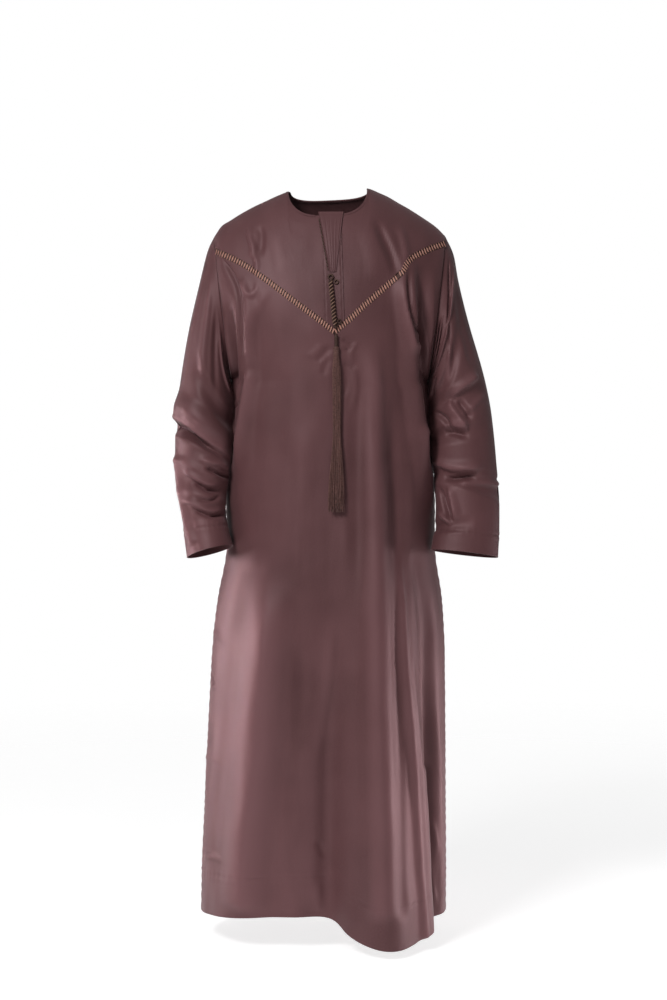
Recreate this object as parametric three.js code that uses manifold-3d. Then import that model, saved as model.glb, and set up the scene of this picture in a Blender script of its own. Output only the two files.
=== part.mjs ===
// A long collarless robe with a V-shaped openwork insertion, a placket tab, a twisted closing cord
// and a hanging tassel. It keeps the hollow form of a worn robe. Sizes are in millimetres, +Z is up,
// the front faces -Y and the wearer's left is at +X. The origin is midway between the shoulders,
// level with the sides of the neck, where the robe is held up.

import * as THREE from "three";
import { mergeVertices } from "three/addons/utils/BufferGeometryUtils.js";
import Module from "manifold-3d";

const wasm = await Module();
wasm.setup();

// Driving sizes
const CLOTH = 1.6; // thickness of the cloth wall
const SEAM_GAP = 0.3; // clear space between two pieces at a seam
const LAY_GAP = 0.5; // clear space between a piece and the piece that it lies on
const SHOULDER = { halfWidth: 225, drop: 88 };
const NECK = { halfWidth: 77, frontDrop: 62, backDrop: 20, square: 3 };
const ARMPIT = { x: 192, z: -370 };
const ARMHOLE = { front: 78, back: 82 };
const CHEST = { frontRound: 300, backRound: 200, square: 2.4 };
const HEM_LOWEST = -1480; // where the fold paths end, just below the hem

// Mesh steps
const SIDE_COLUMNS = 11;
const YOKE_ROWS = 7;
const FRONT_UPPER_ROWS = 8; // down to the level of the armpit
const FRONT_LOWER_ROWS = 11;
const BACK_UPPER_ROWS = 9;
const BACK_LOWER_ROWS = 12;
const SLEEVE_RINGS = 24;
const SLEEVE_SIDES = 18; // also the corners of the armhole

// Columns of a panel beside the neck, as shares of the neck's half width: where each starts on the
// neck's edge, and where it runs lower down.
const NECK_COLUMNS = [
  { top: 0.38, down: 0.33 },
  { top: 0.7, down: 0.6 },
  { top: 0.9, down: 0.78 },
  { top: 0.978, down: 0.89 },
  { top: 0.9965, down: 0.955 },
];

// Height of the shoulder seam at s, the place across a panel, from -1 at the wearer's right edge to 1
// at the left edge.
const SHOULDER_LINE = [
  { s: -1, z: -88 },
  { s: -0.94, z: -69 },
  { s: -0.87, z: -59 },
  { s: -0.76, z: -44 },
  { s: -0.64, z: -30 },
  { s: -0.54, z: -20 },
  { s: -0.44, z: -10 },
  { s: -0.342, z: -2 },
  { s: -0.2, z: 3 },
  { s: 0, z: 6 },
  { s: 0.2, z: 7 },
  { s: 0.342, z: 4 },
  { s: 0.44, z: -5 },
  { s: 0.51, z: -12 },
  { s: 0.6, z: -24 },
  { s: 0.68, z: -34 },
  { s: 0.82, z: -54 },
  { s: 0.925, z: -71 },
  { s: 1, z: -88 },
];

// The body below the shoulders: half width on the wearer's right and left, the shift of the middle
// of the front, and the depth of front and back, at each height z.
const BODY = [
  { z: 20, right: 192, left: 192, middle: -6, front: 146, back: 112 },
  { z: -150, right: 192, left: 192, middle: 2, front: 150, back: 118 },
  { z: -280, right: 192, left: 192, middle: 9, front: 152, back: 124 },
  { z: -370, right: 192, left: 192, middle: 10, front: 153, back: 124 },
  { z: -450, right: 193, left: 193, middle: 11, front: 154, back: 122 },
  { z: -510, right: 192, left: 198, middle: 12, front: 156, back: 123 },
  { z: -560, right: 198, left: 203, middle: 12, front: 157, back: 124 },
  { z: -610, right: 202, left: 206, middle: 12, front: 158, back: 128 },
  { z: -680, right: 202, left: 206, middle: 11, front: 159, back: 136 },
  { z: -720, right: 205, left: 208, middle: 10, front: 160, back: 140 },
  { z: -790, right: 219, left: 219, middle: 7, front: 161, back: 146 },
  { z: -860, right: 228, left: 224, middle: 4, front: 161, back: 149 },
  { z: -960, right: 235, left: 226, middle: 0, front: 160, back: 150 },
  { z: -1156, right: 245, left: 228, middle: 0, front: 156, back: 152 },
  { z: -1313, right: 252, left: 229, middle: 0, front: 152, back: 156 },
  { z: -1480, right: 256, left: 229, middle: 0, front: 149, back: 160 },
];

// Heights of the V insertion and of the hem at s.
const V_LINE = [
  { s: -1, z: -122 },
  { s: -0.765, z: -150 },
  { s: -0.56, z: -184 },
  { s: -0.3, z: -231 },
  { s: 0, z: -281 },
];
const V_LINE_LEFT = [
  { s: 0, z: -281 },
  { s: 0.175, z: -252 },
  { s: 0.3, z: -228 },
  { s: 0.47, z: -197 },
  { s: 0.61, z: -168 },
  { s: 0.67, z: -146 },
  { s: 0.8, z: -127 },
  { s: 1, z: -106 },
];
const FRONT_HEM = [
  { s: -1, z: -1411 },
  { s: -0.6, z: -1399 },
  { s: -0.1, z: -1396 },
  { s: 0.05, z: -1404 },
  { s: 0.14, z: -1424 },
  { s: 0.25, z: -1438 },
  { s: 0.4, z: -1446 },
  { s: 0.62, z: -1443 },
  { s: 0.78, z: -1433 },
  { s: 0.88, z: -1422 },
  { s: 1, z: -1411 },
];
const BACK_HEM_Z = -1411;

// Soft folds of the body. Each runs from height zFrom to zTo while its crest moves from sFrom to
// sTo. It is width to each side of its crest, in s, and stands depth out of the cloth, or into it
// when depth is negative. rise and fade are the shares of its length over which it comes and goes.
const FRONT_FOLDS = [
  { name: "left lobe", zFrom: -430, zTo: HEM_LOWEST, sFrom: 0.3, sTo: 0.44, width: 0.44, depth: 66, rise: 1, fade: 0 },
  { name: "lobe crest", zFrom: -290, zTo: HEM_LOWEST, sFrom: 0.38, sTo: 0.4, width: 0.2, depth: 9, rise: 0.3, fade: 0 },
  { name: "lobe edge", zFrom: -640, zTo: HEM_LOWEST, sFrom: 0.6, sTo: 0.8, width: 0.13, depth: 20, rise: 0.6, fade: 0 },
  { name: "side trough", zFrom: -640, zTo: HEM_LOWEST, sFrom: 0.78, sTo: 0.91, width: 0.1, depth: -20, rise: 0.6, fade: 0 },
  { name: "right corner", zFrom: -640, zTo: HEM_LOWEST, sFrom: -0.5, sTo: -0.7, width: 0.26, depth: 17, rise: 0.4, fade: 0 },
  { name: "middle trough", zFrom: -700, zTo: HEM_LOWEST, sFrom: 0.02, sTo: -0.06, width: 0.22, depth: -13, rise: 0.6, fade: 0 },
  { name: "chest trough", zFrom: -330, zTo: -900, sFrom: 0.6, sTo: 0.58, width: 0.15, depth: -6, rise: 0.4, fade: 0.4 },
  { name: "right drape", zFrom: -150, zTo: -600, sFrom: -0.78, sTo: -0.9, width: 0.14, depth: 12, rise: 0.35, fade: 0.4 },
  { name: "right tuck", zFrom: -190, zTo: -560, sFrom: -0.93, sTo: -0.96, width: 0.07, depth: -20, rise: 0.4, fade: 0.4 },
  { name: "left drape", zFrom: -110, zTo: -640, sFrom: 0.62, sTo: 0.94, width: 0.14, depth: 17, rise: 0.25, fade: 0.3 },
  { name: "left tuck", zFrom: -130, zTo: -560, sFrom: 0.82, sTo: 0.985, width: 0.1, depth: -20, rise: 0.3, fade: 0.3 },
];
const BACK_FOLDS = [
  { name: "right back fold", zFrom: -420, zTo: HEM_LOWEST, sFrom: -0.5, sTo: -0.56, width: 0.3, depth: 24, rise: 0.9, fade: 0 },
  { name: "right back trough", zFrom: -420, zTo: HEM_LOWEST, sFrom: -0.2, sTo: -0.24, width: 0.22, depth: -14, rise: 0.9, fade: 0 },
  { name: "middle back fold", zFrom: -360, zTo: HEM_LOWEST, sFrom: 0.08, sTo: 0.1, width: 0.26, depth: 22, rise: 0.9, fade: 0 },
  { name: "left back trough", zFrom: -420, zTo: HEM_LOWEST, sFrom: 0.36, sTo: 0.4, width: 0.18, depth: -13, rise: 0.9, fade: 0 },
  { name: "left back fold", zFrom: -420, zTo: HEM_LOWEST, sFrom: 0.6, sTo: 0.66, width: 0.22, depth: 20, rise: 0.9, fade: 0 },
];

// Rings of a sleeve, from the armhole to the cuff: the outer and inner points of each ring, the
// height of its middle in Y, its reach to front and back, and how far its front is tipped up.
const RIGHT_SLEEVE = [
  { outX: 225, outZ: -88, inX: 192, inZ: -370, y: 0, front: 78, back: 82, tip: 0 },
  { outX: 239, outZ: -119, inX: 193, inZ: -372, y: -1, front: 79, back: 82, tip: 0 },
  { outX: 254, outZ: -178, inX: 194, inZ: -377, y: -4, front: 80, back: 82, tip: 0 },
  { outX: 273, outZ: -264, inX: 194, inZ: -388, y: -9, front: 80, back: 81, tip: 2 },
  { outX: 288, outZ: -360, inX: 193, inZ: -412, y: -15, front: 78, back: 79, tip: 4 },
  { outX: 299, outZ: -438, inX: 192, inZ: -460, y: -22, front: 75, back: 74, tip: 6 },
  { outX: 301, outZ: -505, inX: 193, inZ: -512, y: -32, front: 72, back: 70, tip: 8 },
  { outX: 299, outZ: -562, inX: 198, inZ: -562, y: -44, front: 68, back: 64, tip: 10 },
  { outX: 290, outZ: -610, inX: 203, inZ: -604, y: -57, front: 64, back: 60, tip: 12 },
  { outX: 283, outZ: -656, inX: 199, inZ: -644, y: -70, front: 62, back: 58, tip: 13 },
  { outX: 275, outZ: -712, inX: 186, inZ: -688, y: -86, front: 62, back: 56, tip: 15 },
];
const LEFT_SLEEVE = [
  { outX: 225, outZ: -88, inX: 192, inZ: -370, y: 0, front: 78, back: 82, tip: 0 },
  { outX: 241, outZ: -124, inX: 193, inZ: -372, y: -1, front: 79, back: 82, tip: 0 },
  { outX: 251, outZ: -178, inX: 194, inZ: -377, y: -4, front: 79, back: 81, tip: 0 },
  { outX: 272, outZ: -262, inX: 195, inZ: -388, y: -9, front: 77, back: 79, tip: 2 },
  { outX: 297, outZ: -350, inX: 195, inZ: -410, y: -15, front: 74, back: 75, tip: 4 },
  { outX: 312, outZ: -418, inX: 196, inZ: -455, y: -22, front: 69, back: 70, tip: 6 },
  { outX: 320, outZ: -488, inX: 199, inZ: -505, y: -32, front: 64, back: 64, tip: 7 },
  { outX: 325, outZ: -560, inX: 203, inZ: -560, y: -44, front: 58, back: 57, tip: 8 },
  { outX: 327, outZ: -614, inX: 206, inZ: -610, y: -56, front: 53, back: 51, tip: 9 },
  { outX: 327, outZ: -662, inX: 203, inZ: -652, y: -68, front: 49, back: 46, tip: 10 },
  { outX: 324, outZ: -712, inX: 194, inZ: -697, y: -82, front: 46, back: 42, tip: 11 },
];

// Creases of a sleeve: ring is where each crosses the outer edge, slant how many rings lower it is at
// the inner edge, turn its middle round the sleeve in degrees (0 outer, 90 front, 180 inner), reach
// its half length in degrees, width its half width in rings and depth how far it stands out.
const RIGHT_CREASES = [
  { ring: 3.2, slant: 1.8, turn: 115, reach: 75, width: 0.5, depth: -7 },
  { ring: 4.6, slant: 0.75, turn: 88, reach: 85, width: 0.4, depth: 6 },
  { ring: 5.15, slant: 0.9, turn: 80, reach: 90, width: 0.46, depth: -12 },
  { ring: 7.0, slant: 0.6, turn: 95, reach: 85, width: 0.5, depth: -8 },
  { ring: 8.4, slant: 0.2, turn: 110, reach: 80, width: 0.45, depth: -7 },
];
const LEFT_CREASES = [
  { ring: 2.4, slant: 1.9, turn: 120, reach: 80, width: 0.5, depth: -8 },
  { ring: 4.6, slant: -0.2, turn: 95, reach: 70, width: 0.45, depth: -9 },
  { ring: 5.7, slant: -0.1, turn: 120, reach: 80, width: 0.4, depth: -8 },
  { ring: 7.5, slant: -0.7, turn: 90, reach: 105, width: 0.42, depth: -10 },
  { ring: 8.6, slant: 0.5, turn: 140, reach: 60, width: 0.4, depth: -7 },
];

// The V insertion, with slanted stitches raised on a narrow strip
const INSERTION = { width: 9, thickness: 1.2, stitch: 0.8, pitch: 4.2, slant: 2.4 };

// The closing: a flat placket band, a gathered tab that narrows downwards, three corded rings and a
// twisted cord. x and z are read on the front of the robe.
const PLACKET = { xTop: 2, xFoot: 9, zFoot: -273, halfWidth: 19, clear: 1.5, thickness: 1.2, rows: 9, steps: 4 };
const TAB = { zFoot: -168, halfTop: 24, halfFoot: 6.4, thickness: 1.2, stand: 5, rows: 8, steps: 8, pleat: 0.5 };
const RINGS = [
  { name: "ring_upper_large", x: 2, z: -178, radius: 4.4, cord: 1.9 },
  { name: "ring_upper_small", x: 12.5, z: -187, radius: 3.6, cord: 1.5 },
  { name: "ring_lower", x: 18, z: -262, radius: 3.4, cord: 1.6 },
];
const TWIST = { xTop: 1.5, zTop: -187, xFoot: 9, zFoot: -269, radius: 4.2, groove: 0.28, turns: 10, steps: 30, sides: 8 };

// The tassel: a corded neck from the point of the V, a bound head and its strands
const TASSEL = {
  x: 12,
  zNeck: -287,
  neckLength: 20,
  neckRadius: 3.6,
  headLength: 12,
  headRadius: 5.2,
  zEnd: -622,
  across: 7,
  deep: 3,
  strand: 1.5,
  pitchTop: 2.1,
  pitchFoot: 3.7,
  flareFrom: 0.62,
  steps: 6,
  clear: 3.5,
};
const BINDING = { width: 5, thickness: 1.2, clear: 0.8 };

const clamp = (value, low, high) => Math.min(high, Math.max(low, value));
const mix = (a, b, share) => a + (b - a) * share;
const smooth = (share) => {
  const t = clamp(share, 0, 1);
  return t * t * (3 - 2 * t);
};
const vec = (x, y, z) => new THREE.Vector3(x, y, z);

// A smooth curve through one column of a table, read at any value of its key column.
function through(table, key, column) {
  const at = table.map((row) => row[key]);
  const value = table.map((row) => row[column]);
  const last = at.length - 1;
  const slopeAt = (i) => {
    const a = Math.max(0, i - 1);
    const b = Math.min(last, i + 1);
    return (value[b] - value[a]) / (at[b] - at[a]);
  };
  const slopes = at.map((unused, i) => slopeAt(i));
  const up = at[last] > at[0];
  return (place) => {
    const inside = clamp(place, Math.min(at[0], at[last]), Math.max(at[0], at[last]));
    let i = 0;
    while (i < last - 1 && (up ? inside > at[i + 1] : inside < at[i + 1])) i += 1;
    const span = at[i + 1] - at[i];
    const t = (inside - at[i]) / span;
    const t2 = t * t;
    const t3 = t2 * t;
    return (
      (2 * t3 - 3 * t2 + 1) * value[i] +
      (t3 - 2 * t2 + t) * span * slopes[i] +
      (3 * t2 - 2 * t3) * value[i + 1] +
      (t3 - t2) * span * slopes[i + 1]
    );
  };
}

const body = Object.fromEntries(
  ["right", "left", "middle", "front", "back"].map((name) => [name, through(BODY, "z", name)]),
);
const vRight = through(V_LINE, "s", "z");
const vLeft = through(V_LINE_LEFT, "s", "z");
const vHeight = (s) => (s < 0 ? vRight(s) : vLeft(s));
const frontHem = through(FRONT_HEM, "s", "z");
const seamHeight = through(SHOULDER_LINE, "s", "z");
const NECK_SIDE = NECK.halfWidth / SHOULDER.halfWidth; // s at the side of the neck

const ARMHOLE_HALF = (-SHOULDER.drop - ARMPIT.z) / 2;
const ARMHOLE_MIDDLE = (-SHOULDER.drop + ARMPIT.z) / 2;

// Half width of the body at height z: the flat plane of the armhole, then the side seam.
function halfWidth(s, z) {
  if (z <= ARMPIT.z) return s < 0 ? body.right(z) : body.left(z);
  const share = clamp((z - ARMPIT.z) / (2 * ARMHOLE_HALF), 0, 1);
  return mix(ARMPIT.x, SHOULDER.halfWidth, share);
}

// How far one fold moves the cloth out at (s, z).
function foldHeight(fold, s, z) {
  const along = (fold.zFrom - z) / (fold.zFrom - fold.zTo);
  if (along <= 0 || along >= 1) return 0;
  const off = (s - mix(fold.sFrom, fold.sTo, along)) / fold.width;
  if (Math.abs(off) >= 1) return 0;
  const come = smooth(along / fold.rise);
  const go = fold.fade > 0 ? smooth((1 - along) / fold.fade) : 1;
  return fold.depth * (1 - off * off) ** 2 * come * go;
}

// How far the armhole reaches to the front or back, at a drop below its top. Its edge is a polygon
// with the sleeve's corners, so that the two edges run side by side.
function armholeReach(face, below) {
  const up = 1 - below / ARMHOLE_HALF;
  if (up <= -1) return 0;
  const step = (2 * Math.PI) / SLEEVE_SIDES;
  const corner = Math.floor(Math.acos(Math.min(1, up)) / step + 1e-9) * step;
  const share = (Math.cos(corner) - up) / (Math.cos(corner) - Math.cos(corner + step));
  return (face < 0 ? ARMHOLE.front : ARMHOLE.back) * mix(Math.sin(corner), Math.sin(corner + step), share);
}

// A point on the outside of the body. face is -1 for the front and 1 for the back.
function bodyPoint(face, s, z) {
  const half = halfWidth(s, z);
  const below = Math.max(0, seamHeight(s) - z);
  const round = face < 0 ? CHEST.frontRound : CHEST.backRound;
  const swell = below < round ? Math.sqrt(1 - (1 - below / round) ** 2) : 1;
  const full = Math.sqrt(1 - Math.min(1, Math.abs(s)) ** CHEST.square);
  const depth = face < 0 ? body.front(z) : body.back(z);
  const edge = armholeReach(face, below);
  const middle = face < 0 ? body.middle(z) : 0;
  const point = vec(s * half + middle * (1 - s * s), face * ((1 - full) * edge + full * depth * swell), z);
  const folds = face < 0 ? FRONT_FOLDS : BACK_FOLDS;
  const quiet = smooth((1 - Math.abs(s)) / 0.05) * smooth((below - 12) / 70);
  const out = folds.reduce((sum, fold) => sum + foldHeight(fold, s, z), 0) * quiet;
  const away = vec(point.x / half ** 2, point.y / depth ** 2, 0).normalize();
  return point.addScaledVector(away, out);
}

// The direction out of the body's surface at (s, z).
function bodyOut(face, s, z) {
  const ds = 0.004;
  const a = clamp(s, -0.99, 0.99);
  const dz = clamp((seamHeight(a) - z) / 2, 0.05, 1.5);
  const across = bodyPoint(face, a + ds, z).sub(bodyPoint(face, a - ds, z));
  const down = bodyPoint(face, a, z - dz).sub(bodyPoint(face, a, z + dz));
  return across.cross(down).multiplyScalar(-face).normalize().negate();
}

// The directions out of the armhole ring at height z, tipped towards the body or the sleeve near the armpit.
function armholeOut(face, side, z, towards) {
  const up = (z - ARMHOLE_MIDDLE) / ARMHOLE_HALF;
  const out = Math.sqrt(Math.max(0, 1 - up * up));
  const reach = face < 0 ? ARMHOLE.front : ARMHOLE.back;
  const ring = vec(0, (face * out) / reach, up / ARMHOLE_HALF).normalize();
  const tipped = ((1 - up) / 2) ** 2;
  return ring.multiplyScalar(1 - tipped).addScaledVector(vec(side * towards, 0, 0), tipped).normalize();
}

// Closes a grid of outer points and outward directions into a wall. Rows run down and columns across.
function wall(rows, thickness, joined = false) {
  const high = rows.length;
  const wide = rows[0].length;
  const position = [];
  const index = [];
  rows.flat().forEach(({ point }) => position.push(...point.toArray()));
  rows.flat().forEach(({ point, out, inner }) => {
    const inside = inner ?? point.clone().addScaledVector(out, -thickness);
    position.push(...inside.toArray());
  });
  const outer = (i, j) => i * wide + (j % wide);
  const inner = (i, j) => high * wide + outer(i, j);
  const quad = (a, b, c, d) => index.push(a, b, c, a, c, d);
  const columns = joined ? wide : wide - 1;
  for (let i = 0; i < high - 1; i += 1) {
    for (let j = 0; j < columns; j += 1) {
      quad(outer(i, j), outer(i + 1, j), outer(i + 1, j + 1), outer(i, j + 1));
      quad(inner(i, j), inner(i, j + 1), inner(i + 1, j + 1), inner(i + 1, j));
    }
  }
  for (let j = 0; j < columns; j += 1) {
    quad(outer(0, j), outer(0, j + 1), inner(0, j + 1), inner(0, j));
    quad(outer(high - 1, j + 1), outer(high - 1, j), inner(high - 1, j), inner(high - 1, j + 1));
  }
  if (!joined) {
    for (let i = 0; i < high - 1; i += 1) {
      quad(outer(i + 1, 0), outer(i, 0), inner(i, 0), inner(i + 1, 0));
      quad(outer(i, wide - 1), outer(i + 1, wide - 1), inner(i + 1, wide - 1), inner(i, wide - 1));
    }
  }
  const geometry = new THREE.BufferGeometry();
  geometry.setAttribute("position", new THREE.Float32BufferAttribute(position, 3));
  geometry.setIndex(index);
  return facingOut(geometry);
}

// Turns a closed geometry's faces round if they point inwards.
function facingOut(geometry) {
  const p = geometry.getAttribute("position");
  const index = geometry.getIndex().array;
  const a = vec();
  const b = vec();
  const c = vec();
  let volume = 0;
  for (let i = 0; i < index.length; i += 3) {
    a.fromBufferAttribute(p, index[i]);
    b.fromBufferAttribute(p, index[i + 1]);
    c.fromBufferAttribute(p, index[i + 2]);
    volume += a.dot(b.cross(c));
  }
  if (volume < 0) {
    for (let i = 0; i < index.length; i += 3) [index[i + 1], index[i + 2]] = [index[i + 2], index[i + 1]];
  }
  geometry.computeVertexNormals();
  return geometry;
}

// Columns across half of a panel: the neck columns, then closer together towards the side.
const neckColumns = NECK_COLUMNS.map(({ top, down }) => ({ top: top * NECK_SIDE, s: down * NECK_SIDE }));
const sideColumns = Array.from({ length: SIDE_COLUMNS + 1 }, (unused, i) => {
  const s = Math.sin(mix(Math.asin(NECK_SIDE), Math.PI / 2, i / SIDE_COLUMNS));
  return { top: s, s };
});
const leftColumns = [{ top: 0, s: 0 }, ...neckColumns, ...sideColumns];
const rightColumns = leftColumns.map(({ top, s }) => ({ top: -top, s: -s })).reverse();
const allColumns = [...rightColumns, ...leftColumns.slice(1)];
const COLUMN_SPREAD = 100; // the height over which a neck column moves to its lower place

// Height of a panel's top edge at s: the shoulder seam, or the neck curve between the sides of the neck.
function topHeight(face, s) {
  const across = Math.abs(s) / NECK_SIDE;
  if (across >= 1 - 1e-6) return seamHeight(s);
  const drop = face < 0 ? NECK.frontDrop : NECK.backDrop;
  return seamHeight(s) - drop * Math.sqrt(1 - across ** NECK.square);
}

// One corner of a body panel: its outer point and outward direction, with the seam gaps taken off.
function panelCorner(face, s, z, isTop) {
  const point = bodyPoint(face, s, z);
  const side = Math.sign(s);
  const onSide = Math.abs(s) > 1 - 1e-6;
  const onShoulder = isTop && Math.abs(s) > NECK_SIDE - 1e-6;
  let out = onShoulder ? shoulderOut(s) : bodyOut(face, s, z);
  if (onSide) out = z > ARMPIT.z ? armholeOut(face, side, z, 1) : vec(side, 0, 0);
  if (onSide || onShoulder) point.y += (face * SEAM_GAP) / 2;
  return { point, out };
}

// The direction out of the shoulder seam at s.
function shoulderOut(s) {
  const slope = (seamHeight(s + 0.01) - seamHeight(s - 0.01)) / (0.02 * SHOULDER.halfWidth);
  return vec(-slope, 0, 1).normalize();
}

// Heights down a column from zTop to zFoot: even steps round the shoulder's curve, or along z.
function heightsRound(face, s, zTop, zFoot, steps) {
  const round = face < 0 ? CHEST.frontRound : CHEST.backRound;
  const seam = seamHeight(s);
  const angle = (z) => Math.acos(clamp(1 - (seam - z) / round, -1, 1));
  const first = angle(Math.min(seam, zTop));
  const last = angle(zFoot);
  return Array.from({ length: steps + 1 }, (unused, i) => {
    if (i === 0) return zTop;
    return seam - round * (1 - Math.cos(mix(first, last, i / steps)));
  });
}

// Rows of corners down a panel. heightsOf gives the heights down one column.
function panelRows(face, columns, heightsOf, topIsEdge) {
  const down = columns.map(({ top, s }) => {
    const zTop = topIsEdge ? topHeight(face, top) : 0;
    const placeAtHeight = (z) => (topIsEdge ? mix(top, s, smooth((zTop - z) / COLUMN_SPREAD)) : s);
    return heightsOf(s, top).map((z, i) => panelCorner(face, placeAtHeight(z), z, topIsEdge && i === 0));
  });
  return down[0].map((unused, i) => down.map((column) => column[i]));
}

const halfInsertion = INSERTION.width / 2;
const slopedGap = SEAM_GAP * 1.25; // the seam gap read down a sloping edge
const SLIT = 0.0016; // half of the gap between the two yoke halves, in s

function yoke(side) {
  const columns = (side < 0 ? rightColumns : leftColumns).map((column) => ({ ...column }));
  const inner = columns[side < 0 ? columns.length - 1 : 0];
  inner.s = side * SLIT;
  inner.top = side * SLIT;
  const heights = (s, top) =>
    heightsRound(-1, s, topHeight(-1, top), vHeight(s) + halfInsertion + slopedGap, YOKE_ROWS);
  return wall(panelRows(-1, columns, heights, true), CLOTH);
}

// Height of the row that meets the armpit at the sides and runs lower in the middle.
const armpitRow = (s) => ARMPIT.z - 130 * (1 - s * s);

// Shares of the way from zTop to the armpit at which the corners of the armhole come.
function armholeShares(zTop, steps) {
  const step = 360 / SLEEVE_SIDES;
  const first = THREE.MathUtils.radToDeg(Math.acos(clamp((zTop - ARMHOLE_MIDDLE) / ARMHOLE_HALF, -1, 1)));
  const angles = Array.from({ length: steps }, (unused, i) => 180 - (steps - 1 - i) * step);
  if (angles[0] <= first) angles[0] = (first + angles[1]) / 2;
  const heights = angles.map((angle) => ARMHOLE_MIDDLE + ARMHOLE_HALF * Math.cos(THREE.MathUtils.degToRad(angle)));
  return [0, ...heights.map((z) => (zTop - z) / (zTop - ARMPIT.z))];
}

function frontPanel() {
  const topOf = (s) => vHeight(s) - halfInsertion - slopedGap;
  const heights = (s) => {
    const shares = armholeShares(topOf(Math.sign(s) || 1), FRONT_UPPER_ROWS);
    const upper = shares.map((share, i) => {
      const even = i / FRONT_UPPER_ROWS;
      return mix(topOf(s), armpitRow(s), mix(even, share, s ** 6));
    });
    const lower = Array.from({ length: FRONT_LOWER_ROWS }, (unused, i) =>
      mix(armpitRow(s), frontHem(s), (i + 1) / FRONT_LOWER_ROWS),
    );
    return [...upper, ...lower];
  };
  return wall(panelRows(-1, allColumns, heights, false), CLOTH);
}

function backPanel() {
  const shares = armholeShares(-SHOULDER.drop, BACK_UPPER_ROWS);
  const heights = (s, top) => {
    const zTop = topHeight(1, top);
    const round = heightsRound(1, s, zTop, zTop - CHEST.backRound * 0.8, BACK_UPPER_ROWS - 3);
    const roundFoot = round.at(-1);
    const middle = [...round, ...[1, 2, 3].map((k) => mix(roundFoot, armpitRow(s), k / 3))];
    const upper = middle.map((z, i) => mix(z, mix(zTop, armpitRow(s), shares[i]), s ** 6));
    const lower = Array.from({ length: BACK_LOWER_ROWS }, (unused, i) =>
      mix(armpitRow(s), BACK_HEM_Z, (i + 1) / BACK_LOWER_ROWS),
    );
    return [...upper, ...lower];
  };
  return wall(panelRows(1, allColumns, heights, true), CLOTH);
}

// The strip between yoke and front: slanted stitches stand out of its face, over a plain back.
function insertion(side) {
  const places = leftColumns.map(({ s }) => side * s);
  places[0] = side * SLIT;
  const edges = places.map((s) =>
    [0.5, -0.5].map((up) => {
      const { point, out } = panelCorner(-1, s, vHeight(s) + up * INSERTION.width, false);
      return { point, out };
    }),
  );
  const last = places.length - 1;
  const reach = edges.map(([top], k) => (k === 0 ? 0 : top.point.distanceTo(edges[k - 1][0].point)));
  const lengths = reach.map((unused, k) => reach.slice(0, k + 1).reduce((a, b) => a + b, 0));
  const cornerAt = (distance, edge) => {
    const along = clamp(distance, 0, lengths[last]);
    const k = Math.min(last - 1, Math.max(0, lengths.findIndex((length) => length > along) - 1));
    const from = lengths[last] <= along ? last - 1 : k;
    const share = (along - lengths[from]) / (lengths[from + 1] - lengths[from]);
    const a = edges[from][edge];
    const b = edges[from + 1][edge];
    return { point: a.point.clone().lerp(b.point, share), out: a.out.clone().lerp(b.out, share) };
  };
  const count = Math.round(lengths[last] / INSERTION.pitch);
  const pitch = lengths[last] / (2 * count);
  const rows = [0, 1].map((edge) =>
    Array.from({ length: 2 * count + 1 }, (unused, i) => {
      const lean = i > 1 && i < 2 * count - 1 ? INSERTION.slant * (0.5 - edge) : 0;
      const { point, out } = cornerAt(i * pitch + lean, edge);
      const inner = point.clone().addScaledVector(out, -INSERTION.thickness);
      const raised = i % 2 === 1 ? INSERTION.stitch : 0;
      return { point: point.addScaledVector(out, raised), inner };
    }),
  );
  return wall(rows, INSERTION.thickness);
}

const sleeveCurves = (table) => {
  const numbered = table.map((row, ring) => ({ ...row, ring }));
  return Object.fromEntries(Object.keys(table[0]).map((name) => [name, through(numbered, "ring", name)]));
};

// A point on the outside of a sleeve, at ring number ring and turned by angle from its outer edge.
function sleevePoint(side, curves, creases, ring, angle) {
  const outer = vec(side * curves.outX(ring), 0, curves.outZ(ring));
  const inner = vec(side * curves.inX(ring), 0, curves.inZ(ring));
  const centre = outer.clone().add(inner).multiplyScalar(0.5);
  centre.y = curves.y(ring);
  const half = outer.distanceTo(inner) / 2;
  const outward = outer.clone().sub(inner).normalize();
  const tip = THREE.MathUtils.degToRad(curves.tip(ring));
  const forward = vec(0, -Math.cos(tip), Math.sin(tip));
  const reach = Math.sin(angle) > 0 ? curves.front(ring) : curves.back(ring);
  const point = centre
    .addScaledVector(outward, half * Math.cos(angle))
    .addScaledVector(forward, reach * Math.sin(angle));
  const away = outward
    .multiplyScalar(Math.cos(angle) / half)
    .addScaledVector(forward, Math.sin(angle) / reach)
    .normalize();
  const turn = THREE.MathUtils.radToDeg(angle);
  const height = creases.reduce((sum, crease) => sum + creaseHeight(crease, ring, turn), 0);
  const last = RIGHT_SLEEVE.length - 1;
  return point.addScaledVector(away, height * smooth(ring) * smooth((last - ring) / 1));
}

function creaseHeight(crease, ring, turn) {
  const around = (turn - crease.turn) / crease.reach;
  const path = crease.ring + (crease.slant * (1 - Math.cos(THREE.MathUtils.degToRad(turn)))) / 2;
  const along = (ring - path) / crease.width;
  if (Math.abs(around) >= 1 || Math.abs(along) >= 1) return 0;
  return crease.depth * (1 - along * along) ** 2 * (1 - around * around);
}

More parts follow.
